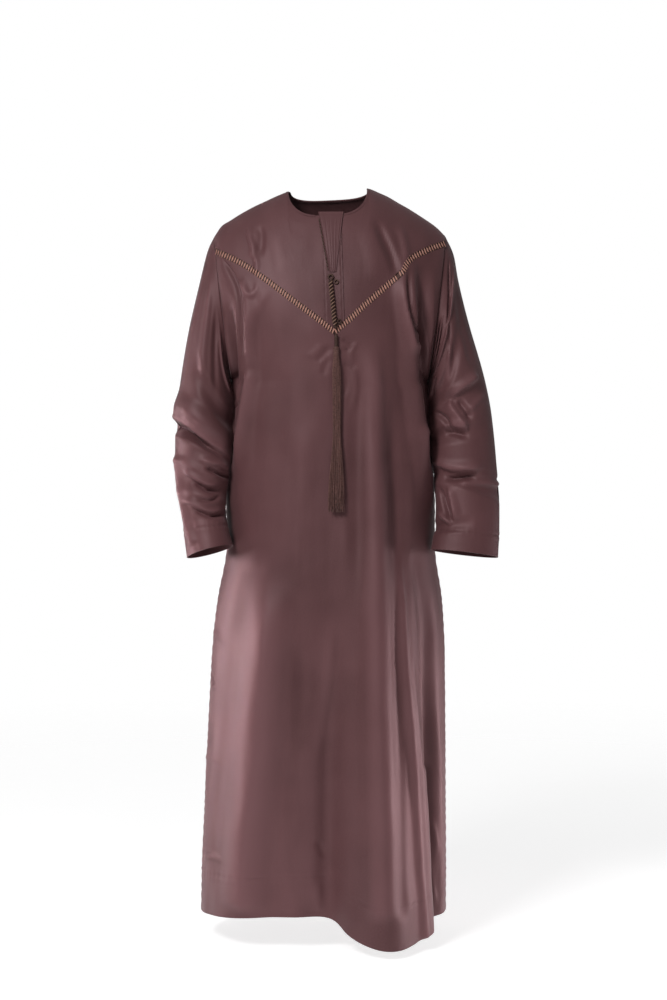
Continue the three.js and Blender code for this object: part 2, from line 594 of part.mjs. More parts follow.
function sleeve(side) {
  const curves = sleeveCurves(side < 0 ? RIGHT_SLEEVE : LEFT_SLEEVE);
  const creases = side < 0 ? RIGHT_CREASES : LEFT_CREASES;
  const last = RIGHT_SLEEVE.length - 1;
  const at = (ring, angle) => sleevePoint(side, curves, creases, ring, angle);
  const rows = Array.from({ length: SLEEVE_RINGS + 1 }, (unused, i) => {
    const ring = (i / SLEEVE_RINGS) * last;
    return Array.from({ length: SLEEVE_SIDES }, (unusedToo, j) => {
      const angle = (j / SLEEVE_SIDES) * 2 * Math.PI;
      const point = at(ring, angle);
      if (i === 0) {
        point.x += side * SEAM_GAP;
        return { point, out: armholeOut(Math.sin(angle) > 0 ? -1 : 1, side, point.z, -1) };
      }
      const around = at(ring, angle + 0.02).sub(at(ring, angle - 0.02));
      const down = at(Math.min(last, ring + 0.03), angle).sub(at(ring - 0.03, angle));
      const out = around.cross(down).normalize();
      const heart = vec(side * (curves.outX(ring) + curves.inX(ring)), 0, curves.outZ(ring) + curves.inZ(ring));
      heart.multiplyScalar(0.5).setY(curves.y(ring));
      if (out.dot(point.clone().sub(heart)) < 0) out.negate();
      return { point, out };
    });
  });
  return wall(rows, CLOTH, true);
}

// The place across the front whose point lies at x, at height z.
function placeAt(x, z) {
  let low = -0.9;
  let high = 0.9;
  for (let i = 0; i < 40; i += 1) {
    const s = (low + high) / 2;
    if (bodyPoint(-1, s, z).x < x) low = s;
    else high = s;
  }
  return (low + high) / 2;
}

// A point at x and z on the front, moved out of it by lift.
function onFront(x, z, lift) {
  const s = placeAt(x, z);
  return bodyPoint(-1, s, z).addScaledVector(bodyOut(-1, s, z), lift);
}

const neckFrontZ = topHeight(-1, 0);
const middleX = (z) => mix(PLACKET.xTop, PLACKET.xFoot, clamp((neckFrontZ - z) / (neckFrontZ - PLACKET.zFoot), 0, 1));

// A flat strip that lies on the front: placeOf gives the x and z of each of its points.
function strip(rowCount, steps, placeOf, lift, thickness, pleat = 0) {
  const rows = Array.from({ length: rowCount + 1 }, (unused, i) =>
    Array.from({ length: steps + 1 }, (unusedToo, j) => {
      const { x, z } = placeOf(i / rowCount, (j / steps) * 2 - 1);
      const raised = j % 2 === 1 ? pleat : 0;
      return { point: onFront(x, z, lift + thickness + raised), inner: onFront(x, z, lift) };
    }),
  );
  return wall(rows, thickness);
}

function placketBand() {
  const place = (share, across) => {
    const footX = PLACKET.xFoot + across * PLACKET.halfWidth;
    const foot = vHeight(placeAt(footX, PLACKET.zFoot)) + halfInsertion + PLACKET.clear;
    const z = mix(neckFrontZ - 3, foot, share);
    return { x: middleX(z) + across * PLACKET.halfWidth, z };
  };
  return strip(PLACKET.rows, PLACKET.steps, place, LAY_GAP, PLACKET.thickness);
}

function placketTab() {
  const place = (share, across) => {
    const z = mix(neckFrontZ + TAB.stand, TAB.zFoot, share);
    return { x: middleX(z) + across * mix(TAB.halfTop, TAB.halfFoot, share), z };
  };
  const lift = 2 * LAY_GAP + PLACKET.thickness;
  return strip(TAB.rows, TAB.steps, place, lift, TAB.thickness, TAB.pleat);
}

// A ring of cord that lies on the front at x and z.
function cordRing({ x, z, radius, cord }) {
  const lift = 2 * LAY_GAP + PLACKET.thickness + cord;
  const ring = new THREE.TorusGeometry(radius, cord, 6, 14);
  const out = bodyOut(-1, placeAt(x, z), z);
  ring.applyQuaternion(new THREE.Quaternion().setFromUnitVectors(vec(0, 0, 1), out));
  const centre = onFront(x, z, lift);
  return ring.translate(centre.x, centre.y, centre.z);
}

// A two-strand cord, its outline turning as it goes down the front.
function twistedCord() {
  const lift = 2 * LAY_GAP + PLACKET.thickness + TWIST.radius;
  const middle = (share) => onFront(mix(TWIST.xTop, TWIST.xFoot, share), mix(TWIST.zTop, TWIST.zFoot, share), lift);
  const rings = Array.from({ length: TWIST.steps + 1 }, (unused, i) => {
    const share = i / TWIST.steps;
    const down = middle(share + 0.01).sub(middle(share - 0.01)).normalize();
    const aside = vec(1, 0, 0).addScaledVector(down, -down.x).normalize();
    const forward = down.clone().cross(aside);
    const turn = share * TWIST.turns * Math.PI;
    return Array.from({ length: TWIST.sides }, (unusedToo, j) => {
      const angle = (j / TWIST.sides) * 2 * Math.PI;
      const reach = TWIST.radius * (1 - TWIST.groove * Math.sin(angle - turn) ** 2);
      return middle(share)
        .addScaledVector(aside, reach * Math.cos(angle))
        .addScaledVector(forward, reach * Math.sin(angle));
    });
  });
  return capped(rings);
}

// A closed body from rings of points, capped at both ends.
function capped(rings) {
  const sides = rings[0].length;
  const position = rings.flat().flatMap((point) => point.toArray());
  const index = [];
  for (let i = 0; i < rings.length - 1; i += 1) {
    for (let j = 0; j < sides; j += 1) {
      const a = i * sides + j;
      const b = i * sides + ((j + 1) % sides);
      index.push(a, a + sides, b + sides, a, b + sides, b);
    }
  }
  const end = (rings.length - 1) * sides;
  for (let j = 1; j < sides - 1; j += 1) {
    index.push(0, j, j + 1);
    index.push(end, end + j + 1, end + j);
  }
  const geometry = new THREE.BufferGeometry();
  geometry.setAttribute("position", new THREE.Float32BufferAttribute(position, 3));
  geometry.setIndex(index);
  return facingOut(geometry);
}

// How far forward the cloth comes under the tassel at height z.
function clothUnderTassel(z) {
  const reach = 14;
  return Math.min(...[-1, 0, 1].map((side) => onFront(TASSEL.x + side * reach, z, 0).y));
}

const tasselHeadTop = TASSEL.zNeck - TASSEL.neckLength - SEAM_GAP;
const tasselHeadFoot = tasselHeadTop - TASSEL.headLength;

function tasselNeck() {
  const rings = Array.from({ length: 9 }, (unused, i) => {
    const z = TASSEL.zNeck - (i / 8) * TASSEL.neckLength;
    const radius = TASSEL.neckRadius * (i % 2 === 0 ? 0.82 : 1);
    const y = clothUnderTassel(z) - LAY_GAP - TASSEL.neckRadius - INSERTION.stitch;
    return circleRing(TASSEL.x, y, z, radius, 10);
  });
  return capped(rings);
}

function circleRing(x, y, z, radius, sides) {
  return Array.from({ length: sides }, (unused, j) => {
    const angle = (j / sides) * 2 * Math.PI;
    return vec(x + radius * Math.cos(angle), y + radius * Math.sin(angle), z);
  });
}

// A geometry as a manifold-3d solid.
function solidOf(geometry) {
  const bare = new THREE.BufferGeometry();
  bare.setAttribute("position", geometry.getAttribute("position"));
  bare.setIndex(geometry.getIndex());
  const merged = mergeVertices(bare, 1e-3);
  const mesh = new wasm.Mesh({
    numProp: 3,
    vertProperties: merged.getAttribute("position").array,
    triVerts: new Uint32Array(merged.getIndex().array),
  });
  return new wasm.Manifold(mesh);
}

function geometryOf(solid) {
  const mesh = solid.getMesh();
  const geometry = new THREE.BufferGeometry();
  geometry.setAttribute("position", new THREE.BufferAttribute(new Float32Array(mesh.vertProperties), 3));
  geometry.setIndex(new THREE.BufferAttribute(new Uint32Array(mesh.triVerts), 1));
  geometry.computeVertexNormals();
  return geometry;
}

// The middle of the strands at each step down, just clear of the cloth.
function strandMiddle(z) {
  const halfDeep = ((TASSEL.deep - 1) / 2) * TASSEL.pitchTop + TASSEL.strand / 2;
  const headY = clothUnderTassel(tasselHeadTop) - LAY_GAP - TASSEL.headRadius;
  return Math.min(headY, clothUnderTassel(z) - halfDeep - TASSEL.clear);
}

function strand(column, layer) {
  const zTop = tasselHeadFoot + TASSEL.headLength / 2;
  const zFoot = TASSEL.zEnd + 6 * Math.abs(Math.sin(column * 2.3 + layer * 1.7));
  const rings = Array.from({ length: TASSEL.steps + 1 }, (unused, i) => {
    const share = i / TASSEL.steps;
    const z = mix(zTop, zFoot, share);
    const flare = smooth((share - TASSEL.flareFrom) / (1 - TASSEL.flareFrom));
    const pitch = mix(TASSEL.pitchTop, TASSEL.pitchFoot, flare);
    const offset = layer % 2 === 0 ? 0 : 0.5;
    const x = TASSEL.x + (column - (TASSEL.across - 1) / 2 + offset - 0.25) * pitch;
    const y = strandMiddle(z) + (layer - (TASSEL.deep - 1) / 2) * TASSEL.pitchTop;
    const half = TASSEL.strand / 2;
    return [vec(x + half, y, z), vec(x, y + half, z), vec(x - half, y, z), vec(x, y - half, z)];
  });
  return capped(rings);
}

function tassel() {
  const headY = clothUnderTassel(tasselHeadTop) - LAY_GAP - TASSEL.headRadius;
  const middleZ = (tasselHeadTop + tasselHeadFoot) / 2;
  const half = TASSEL.headLength / 2;
  const profile = [
    [0, -half],
    [TASSEL.headRadius * 0.9, -half],
    [TASSEL.headRadius, -half * 0.3],
    [TASSEL.headRadius * 0.72, half * 0.35],
    [TASSEL.headRadius * 0.8, half * 0.7],
    [TASSEL.headRadius * 0.5, half],
    [0, half],
  ];
  const head = new THREE.LatheGeometry(profile.map(([r, h]) => new THREE.Vector2(r, h)), 12);
  head.deleteAttribute("normal");
  head.deleteAttribute("uv");
  head.rotateX(Math.PI / 2).scale(1.42, 1, 1).translate(TASSEL.x, headY, middleZ);
  let solid = solidOf(facingOut(mergeVertices(head, 1e-3)));
  for (let layer = 0; layer < TASSEL.deep; layer += 1) {
    for (let column = 0; column < TASSEL.across; column += 1) {
      solid = solid.add(solidOf(strand(column, layer)));
    }
  }
  return geometryOf(solid);
}

// The narrow binding round the neck, from one side of the tab round the back to the other.
function neckBinding() {
  const shares = [...NECK_COLUMNS.map(({ top }) => top), 1];
  const left = shares.map((share) => ({ face: -1, s: share * NECK_SIDE }));
  const back = shares.slice(0, -1).reverse().map((share) => ({ face: 1, s: share * NECK_SIDE }));
  const half = [...left, ...back];
  const otherHalf = half.map(({ face, s }) => ({ face, s: -s })).reverse();
  const places = [...half, { face: 1, s: 0 }, ...otherHalf];
  const edge = places.map(({ face, s }) => bodyPoint(face, s, topHeight(face, s)));
  const corners = places.map(({ face, s }, i) => {
    const near = Math.abs(s) > NECK_SIDE - 1e-6 ? shoulderOut(s) : bodyOut(face, s, topHeight(face, s));
    const ahead = edge[Math.min(places.length - 1, i + 1)];
    const along = ahead.clone().sub(edge[Math.max(0, i - 1)]).normalize();
    const away = near.clone().cross(along).normalize();
    return [0, 1].map((side) => {
      const inner = edge[i].clone().addScaledVector(away, side * BINDING.width - 0.3);
      inner.addScaledVector(near, BINDING.clear);
      return { inner, point: inner.clone().addScaledVector(near, BINDING.thickness) };
    });
  });
  return wall([corners.map((c) => c[0]), corners.map((c) => c[1])], BINDING.thickness);
}

const cloth = new THREE.MeshStandardMaterial({ color: 0x5c3f3e, roughness: 0.55, metalness: 0 });
const stitching = new THREE.MeshStandardMaterial({ color: 0xa8765c, roughness: 0.6, metalness: 0 });
const cording = new THREE.MeshStandardMaterial({ color: 0x45302a, roughness: 0.6, metalness: 0 });

const robe = new THREE.Group();

function put(name, geometry, material) {
  const mesh = new THREE.Mesh(geometry, material.clone());
  mesh.name = name;
  robe.add(mesh);
}

put("yoke_right", yoke(-1), cloth);
put("yoke_left", yoke(1), cloth);
put("front_panel", frontPanel(), cloth);
put("back_panel", backPanel(), cloth);
put("sleeve_right", sleeve(-1), cloth);
put("sleeve_left", sleeve(1), cloth);
put("insertion_right", insertion(-1), stitching);
put("insertion_left", insertion(1), stitching);
put("placket_band", placketBand(), cloth);
put("placket_tab", placketTab(), cloth);
put("neck_binding", neckBinding(), cloth);
RINGS.forEach((ring) => put(ring.name, cordRing(ring), cording));
put("closing_cord", twistedCord(), cording);
put("tassel_neck", tasselNeck(), cording);
put("tassel", tassel(), cording);

export default robe;
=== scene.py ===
"""A long collarless robe with an openwork V, a gathered neck tab, a twisted closing cord and a tassel.

Every size below is in millimetres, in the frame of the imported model: +Z is up, the front faces -Y, and
the origin is midway between the shoulders. Right and left are as worn: the right side has negative x.
"""

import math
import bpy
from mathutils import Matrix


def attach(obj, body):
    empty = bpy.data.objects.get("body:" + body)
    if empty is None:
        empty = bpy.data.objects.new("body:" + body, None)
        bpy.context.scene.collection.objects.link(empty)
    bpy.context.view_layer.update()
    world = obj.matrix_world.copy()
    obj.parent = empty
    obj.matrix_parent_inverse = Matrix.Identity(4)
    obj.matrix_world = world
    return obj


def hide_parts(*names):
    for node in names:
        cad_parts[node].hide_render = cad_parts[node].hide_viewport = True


bl_info = {
    "name": "Jubba robe",
    "version": (1, 0, 0),
    "blender": (4, 5, 0),
    "location": "View3D > Sidebar > Robe",
    "description": "Builds the cloth, trim and closing of a long robe round its packed frame",
    "category": "Object",
}

from collections import namedtuple
from types import SimpleNamespace

import bmesh
import bpy
import numpy as np
from mathutils import Matrix, Vector

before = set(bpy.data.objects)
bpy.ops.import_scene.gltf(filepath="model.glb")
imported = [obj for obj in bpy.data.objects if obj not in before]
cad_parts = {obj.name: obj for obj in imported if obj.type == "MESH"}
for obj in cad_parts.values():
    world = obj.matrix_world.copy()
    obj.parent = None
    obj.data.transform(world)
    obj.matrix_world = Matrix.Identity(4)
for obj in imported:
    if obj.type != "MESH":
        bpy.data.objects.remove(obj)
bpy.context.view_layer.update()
MM = 0.001
TINY = 1e-12
SIDES = ((-1, "right"), (1, "left"))

# Shape of the robe: named sizes and tables. A face is -1 for the front and 1 for the back, and a place
# across a panel, s, runs from -1 at the right side to 1 at the left.

SEAM_GAP = 0.3
SEAM_LAP = 0.08  # how far sewn edges reach past a seam, so that no light shows through
SEAM_DIP = 0.9
SEAM_REACH = 5  # millimetres of cloth that a seam draws in
LAY_GAP = 0.5
SHOULDER_HALF = 225
SHOULDER_DROP = 88
NECK_HALF = 77
NECK_DROP = {-1: 62, 1: 20}
NECK_SIDE = NECK_HALF / SHOULDER_HALF
ARMPIT_X = 192
ARMPIT_Z = -370
ARMPIT_SAG = 130  # how far the middle of the row between the armpits hangs
ARMHOLE_REACH = {-1: 78, 1: 82}
ARMHOLE_HALF = (-SHOULDER_DROP - ARMPIT_Z) / 2
ARMHOLE_MIDDLE = (-SHOULDER_DROP + ARMPIT_Z) / 2
CHEST_ROUND = {-1: 300, 1: 200}
CHEST_SQUARE = 2.4
HEM_LOWEST = -1480
BACK_HEM_Z = -1411
HEM_STITCH = 78  # from the edge of the hem to its stitching
CUFF_STITCH = 40  # and from the edge of a cuff
ROUND = 175  # millimetres of cloth for each radian across a panel
COLUMN_SPREAD = 100
INSERTION_WIDTH = 9
STRIP_CLEAR = INSERTION_WIDTH / 2 + 0.4  # from the line of the V to the edge of the cloth beside it
MIDDLE_GAP = 0.0016  # place across where a half of the yoke or of the V starts
QUIET_SIDE = 0.05  # large folds fade over this share of the width beside the side seams
QUIET_TOP, QUIET_FADE = 12, 70  # and start this far below the shoulder seam, fading in
FULL_RISE = 6  # millimetres of crease that show the painted highlight of raised folds in full
ON_EDGE = 1e-6
PLACE_END, HALVINGS = 0.999, 34  # the search for the place of a point: its ends, and its steps
RIM_ACROSS, RIM_DOWN = 0.0025, 0.0012  # shares of a sheet that its first and last squares take
BATCH = 50  # stitches that are made at a time
GOLDEN_TURN = 2.399963  # spreads the strands of the tassel evenly


def columns(names, rows):
    """A table with named columns."""
    return {name: np.array(column, float) for name, column in zip(names.split(), zip(*rows))}


SHOULDER_LINE = columns("s z", [
    (-1, -88), (-0.94, -69), (-0.87, -59), (-0.76, -44), (-0.64, -30), (-0.54, -20), (-0.44, -10),
    (-0.342, -2), (-0.2, 3), (0, 6), (0.2, 7), (0.342, 4), (0.44, -5), (0.51, -12), (0.6, -24),
    (0.68, -34), (0.82, -54), (0.925, -71), (1, -88),
])
BODY = columns("z right left middle front back", [
    (20, 192, 192, -6, 146, 112),
    (-150, 192, 192, 2, 150, 118),
    (-280, 192, 192, 9, 152, 124),
    (-370, 192, 192, 10, 153, 124),
    (-388, 197, 197, 10, 153, 123),
    (-450, 199, 198, 11, 154, 122),
    (-510, 200, 200, 12, 156, 123),
    (-560, 202, 204, 12, 157, 124),
    (-610, 204, 206, 12, 158, 128),
    (-680, 202, 206, 11, 159, 136),
    (-720, 205, 208, 10, 160, 140),
    (-790, 219, 219, 7, 161, 146),
    (-860, 228, 224, 4, 161, 149),
    (-960, 235, 226, 0, 160, 150),
    (-1156, 245, 228, 0, 156, 152),
    (-1313, 252, 229, 0, 152, 156),
    (-1480, 256, 229, 0, 149, 160),
])
V_RIGHT = columns("s z", [(-1, -122), (-0.765, -150), (-0.56, -184), (-0.3, -231), (0, -281)])
V_LEFT = columns("s z", [
    (0, -281), (0.175, -252), (0.3, -228), (0.47, -197), (0.61, -168), (0.67, -146), (0.8, -127), (1, -106),
])
V_BREAK = (128.2, 131.8)  # the fold of the chest hides the stitches between these places
FRONT_HEM = columns("s z", [
    (-1, -1411), (-0.6, -1399), (-0.1, -1396), (0.05, -1404), (0.14, -1424), (0.25, -1438),
    (0.4, -1446), (0.62, -1443), (0.78, -1433), (0.88, -1422), (1, -1411),
])
FOLD_NAMES = "z_from z_to s_from s_to width depth rise fade"
FRONT_FOLDS = columns(FOLD_NAMES, [
    (-430, HEM_LOWEST, 0.3, 0.44, 0.44, 66, 1, 0),
    (-290, HEM_LOWEST, 0.38, 0.4, 0.2, 9, 0.3, 0),
    (-640, HEM_LOWEST, 0.6, 0.8, 0.13, 20, 0.6, 0),
    (-640, HEM_LOWEST, 0.78, 0.91, 0.1, -20, 0.6, 0),
    (-640, HEM_LOWEST, -0.5, -0.7, 0.26, 17, 0.4, 0),
    (-700, HEM_LOWEST, 0.02, -0.06, 0.22, -13, 0.6, 0),
    (-330, -900, 0.6, 0.58, 0.15, -6, 0.4, 0.4),
    (-150, -600, -0.78, -0.9, 0.14, 12, 0.35, 0.4),
    (-190, -560, -0.93, -0.96, 0.07, -20, 0.4, 0.4),
    (-110, -640, 0.62, 0.94, 0.14, 17, 0.25, 0.3),
    (-130, -560, 0.82, 0.985, 0.1, -20, 0.3, 0.3),
])
BACK_FOLDS = columns(FOLD_NAMES, [
    (-420, HEM_LOWEST, -0.5, -0.56, 0.3, 24, 0.9, 0),
    (-420, HEM_LOWEST, -0.2, -0.24, 0.22, -14, 0.9, 0),
    (-360, HEM_LOWEST, 0.08, 0.1, 0.26, 22, 0.9, 0),
    (-420, HEM_LOWEST, 0.36, 0.4, 0.18, -13, 0.9, 0),
    (-420, HEM_LOWEST, 0.6, 0.66, 0.22, 20, 0.9, 0),
])
SLEEVE_NAMES = "ring out_x out_z in_x in_z y front back tip"
SLEEVE = {
    -1: columns(SLEEVE_NAMES, [
        (0, 225, -88, 192, -370, 0, 78, 82, 0),
        (1, 239, -119, 193, -372, -1, 79, 82, 0),
        (2, 254, -178, 191, -379, -4, 80, 82, 0),
        (3, 273, -264, 187, -392, -9, 80, 81, 2),
        (4, 288, -360, 185, -412, -15, 78, 79, 3),
        (5, 299, -438, 187, -460, -22, 75, 74, 4),
        (6, 301, -505, 189, -512, -32, 72, 70, 5),
        (7, 299, -562, 194, -562, -44, 68, 64, 6),
        (8, 290, -610, 200, -604, -57, 64, 60, 7),
        (9, 283, -656, 198, -644, -70, 62, 58, 8),
        (10, 275, -712, 186, -688, -86, 62, 56, 9),
    ]),
    1: columns(SLEEVE_NAMES, [
        (0, 225, -88, 192, -370, 0, 78, 82, 0),
        (1, 241, -124, 193, -372, -1, 79, 82, 0),
        (2, 251, -178, 191, -379, -4, 79, 81, 0),
        (3, 272, -262, 188, -392, -9, 77, 79, 2),
        (4, 297, -350, 187, -410, -15, 74, 75, 3),
        (5, 312, -418, 191, -455, -22, 69, 70, 4),
        (6, 320, -488, 195, -505, -32, 64, 64, 5),
        (7, 325, -560, 201, -560, -44, 58, 57, 6),
        (8, 327, -614, 205, -610, -56, 53, 51, 7),
        (9, 327, -662, 203, -652, -68, 49, 46, 7),
        (10, 324, -712, 194, -697, -82, 46, 42, 8),
    ]),
}
LAST_RING = 10
RING_STEP = 62  # millimetres of cloth from one ring of a sleeve to the next
CUFF_RING_STEP = 0.8 * RING_STEP  # the same beside the cuff, where the rings are nearer
TURN_STEP = 1.2  # millimetres of cloth for each degree round a sleeve
BEND_NAMES = "ring slant turn reach width depth"
SLEEVE_BENDS = {
    -1: columns(BEND_NAMES, [
        (3.2, 1.8, 115, 75, 0.5, -7),
        (4.6, 0.75, 88, 85, 0.4, 6),
        (5.15, 0.9, 80, 90, 0.46, -12),
        (7, 0.6, 95, 85, 0.5, -8),
        (8.4, 0.2, 110, 80, 0.45, -7),
    ]),
    1: columns(BEND_NAMES, [
        (2.4, 1.9, 120, 80, 0.5, -8),
        (4.6, -0.2, 95, 70, 0.45, -9),
        (5.7, -0.1, 120, 80, 0.4, -8),
        (7.5, -0.7, 90, 105, 0.42, -10),
        (8.6, 0.5, 140, 60, 0.4, -7),
    ]),
}

PLACKET = SimpleNamespace(x_top=2, x_foot=9, z_foot=-273, half=19, clear=1.5)
TAB = SimpleNamespace(z_foot=-168, half_top=24, half_foot=6.4, stand=5, length=117)
BINDING = SimpleNamespace(reach=4.4, over=0.4, outside=0.75, inside=2.1, fold=0.28)
RING_NODES = ["ring_upper_large", "ring_upper_small", "ring_lower"]
RINGS = columns("x z radius cord", [(2, -178, 4.4, 1.9), (12.5, -187, 3.6, 1.5), (18, -262, 3.4, 1.6)])
TWIST = SimpleNamespace(x_top=1.5, z_top=-187, x_foot=9, z_foot=-269, radius=4.2, turns=6.3)
KNOTS = columns("x z lift along aside out", [
    (10, -271, 2.6, 4.4, 3.6, 3.0), (14, -268, 1.8, 2.8, 1.7, 1.6), (2.6, -184.5, 2.0, 3.4, 2.6, 2.2),
])
TASSEL = SimpleNamespace(
    x=12, z_neck=-287, neck_length=20, neck_radius=3.6, head_length=12, head_radius=4.2,
    z_end=-622, clear=3.5, half_top=7.6, half_foot=15.0, deep_top=3.0, deep_foot=3.6,
)
FLOOR_Z = -1.463  # these three in metres and degrees
CAMERA_PLACE = (0.007, -4.2, -0.45)
CAMERA_TILT = 2.1

# Creases, each along a path. path holds places as they are seen: x and z on the front or on the back,
# turn in degrees and ring on a sleeve. left and right are its widths to its two sides in millimetres,
# named for a path that runs down. depth is how far it stands out, crisp is lower for a sharper line,
# and start and finish are the shares of its length over which it comes and goes.
Crease = namedtuple("Crease", "path left right depth crisp start finish", defaults=(2.0, 0.3, 0.3))


def crease_list(rows):
    return [Crease(*row) for row in rows]


FRONT_CREASES = crease_list([
    # the right of the chest
    ([(-150, -72), (-153, -95), (-146, -118), (-150, -142)], 9, 8, 4.8, 1.6),
    ([(-135, -70), (-132, -105), (-137, -140)], 10, 12, -4.8, 1.8),
    ([(-146, -128), (-138, -150), (-143, -174)], 8, 8, 3.8, 1.6),
    ([(-163, -172), (-161, -196), (-150, -210), (-139, -200), (-137, -178)], 8, 8, 4.4, 1.6),
    ([(-112, -190), (-138, -240), (-152, -280)], 22, 14, 3.0, 1.8),
    ([(-62, -66), (-72, -104), (-70, -150)], 24, 24, -1.4, 2),
    ([(-104, -70), (-98, -140), (-92, -190)], 18, 18, 1.2, 2),
    # the left of the chest
    ([(84, -56), (102, -92), (118, -130), (127, -160), (134, -192)], 17, 10, -7.0, 1.6),
    ([(66, -60), (78, -108), (86, -150), (88, -200)], 22, 22, 2.0, 2),
    ([(128, -66), (140, -110), (146, -156)], 9, 16, 4.0, 1.6),
    # the drape that falls from the right shoulder
    ([(-208, -136), (-188, -168), (-174, -205), (-171, -269), (-172, -342)], 9, 9, -8.0, 1.5, 0.2, 0.15),
    ([(-176, -180), (-159, -215), (-157, -280), (-155, -350)], 8, 26, 5.5, 1.5, 0.2, 0.15),
    ([(-154, -346), (-161, -388), (-170, -434), (-179, -488), (-185, -556)], 8, 30, 7.0, 1.5, 0.15, 0.3),
    ([(-168, -350), (-176, -396), (-184, -446), (-189, -505)], 10, 8, -7.5, 1.5, 0.3, 0.3),
    # the pleat that falls from the left shoulder
    ([(137, -150), (142, -226), (158, -287), (172, -342), (180, -406), (187, -498), (191, -566)],
     26, 8, 6.5, 1.5, 0.15, 0.25),
    ([(150, -150), (154, -226), (170, -290), (182, -345), (187, -420)], 9, 11, -9.0, 1.5, 0.15, 0.25),
    ([(176, -190), (173, -250), (184, -300), (188, -350)], 8, 9, 5.0, 1.6),
    ([(128, -190), (134, -260), (148, -330), (160, -400)], 16, 14, -2.4, 2),
    # the middle of the robe
    ([(84, -290), (86, -450), (88, -700), (92, -1000), (98, -1400)], 30, 24, 6.2, 1.9, 0.15, 0.02),
    ([(58, -330), (52, -480), (54, -640), (50, -820)], 24, 20, -4.4, 2),
    ([(118, -420), (122, -600), (124, -760)], 20, 18, -3.6, 2),
    ([(-54, -440), (-50, -520), (-56, -640), (-62, -760)], 24, 26, 1.8, 2),
    ([(-96, -330), (-92, -420), (-100, -520), (-108, -640)], 26, 22, -1.8, 2),
    ([(26, -334), (32, -372), (26, -410)], 8, 8, -2.6, 1.7),
    ([(44, -346), (50, -388), (40, -440)], 9, 9, 2.4, 1.7),
    ([(52, -300), (40, -322), (44, -346)], 7, 7, 1.8, 1.6),
    ([(4, -305), (-10, -322), (-26, -340)], 8, 7, -3.8, 1.6),
    ([(0, -326), (-8, -344), (-14, -366)], 6, 7, -2.8, 1.6),
    ([(-14, -302), (-26, -318), (-44, -330)], 7, 7, 1.6, 1.7),
    ([(22, -294), (34, -298), (48, -305)], 5, 5, -3.2, 1.5),
    ([(24, -311), (34, -313), (44, -316)], 5, 4, -2.8, 1.5),
    ([(22, -340), (36, -343), (52, -350)], 5, 5, -3.2, 1.5),
    # the skirt
    ([(-112, -740), (-121, -827), (-130, -961), (-144, -1113), (-164, -1269), (-170, -1400)],
     52, 60, 12, 1.35, 0.3, 0.05),
    ([(10, -800), (-2, -905), (-18, -1030), (-30, -1120), (-34, -1400)], 34, 16, 4.4, 1.5, 0.3, 0.05),
    ([(30, -780), (24, -900), (14, -1030), (6, -1120), (0, -1390)], 20, 34, -3.6, 1.8, 0.3, 0.05),
    ([(-58, -860), (-50, -920), (-52, -1000), (-60, -1120)], 22, 10, -4.2, 1.6, 0.4, 0.5),
    ([(48, -760), (52, -940), (50, -1120), (54, -1400)], 20, 22, -5.0, 1.8, 0.3, 0.05),
    ([(124, -700), (128, -900), (132, -1150), (138, -1400)], 16, 14, -5.6, 1.8, 0.3, 0.05),
    ([(-86, -1180), (-90, -1290), (-86, -1390)], 24, 24, 2.0, 2, 0.4, 0.05),
    ([(-28, -1244), (-6, -1286)], 8, 9, -2.6, 1.6),
    ([(-22, -1320), (-22, -1396)], 10, 12, 3.0, 1.5),
    ([(132, -700), (139, -790), (147, -927), (159, -1079), (172, -1281), (180, -1383), (185, -1440)],
     26, 8, 7.0, 1.35, 0.2, 0.02),
    ([(160, -830), (174, -1000), (188, -1180), (196, -1380)], 12, 14, -4.6, 1.7, 0.3, 0.05),
    ([(190, -1210), (204, -1250), (212, -1300)], 7, 7, 3.0, 1.5),
    ([(196, -1290), (200, -1350), (210, -1400)], 8, 8, 3.4, 1.5),
    ([(-236, -935), (-222, -960), (-204, -958)], 6, 7, -3.4, 1.5, 0.1, 0.5),
    ([(-234, -972), (-222, -962), (-208, -968)], 6, 7, 3.2, 1.5, 0.1, 0.5),
    ([(-244, -1108), (-228, -1104), (-206, -1112)], 8, 8, 2.4, 1.6, 0.1, 0.5),
    ([(-246, -1302), (-226, -1294), (-202, -1300)], 8, 8, 2.6, 1.6, 0.1, 0.5),
    ([(-232, -860), (-216, -866), (-200, -884)], 9, 9, 2.4, 1.7, 0.1, 0.5),
])

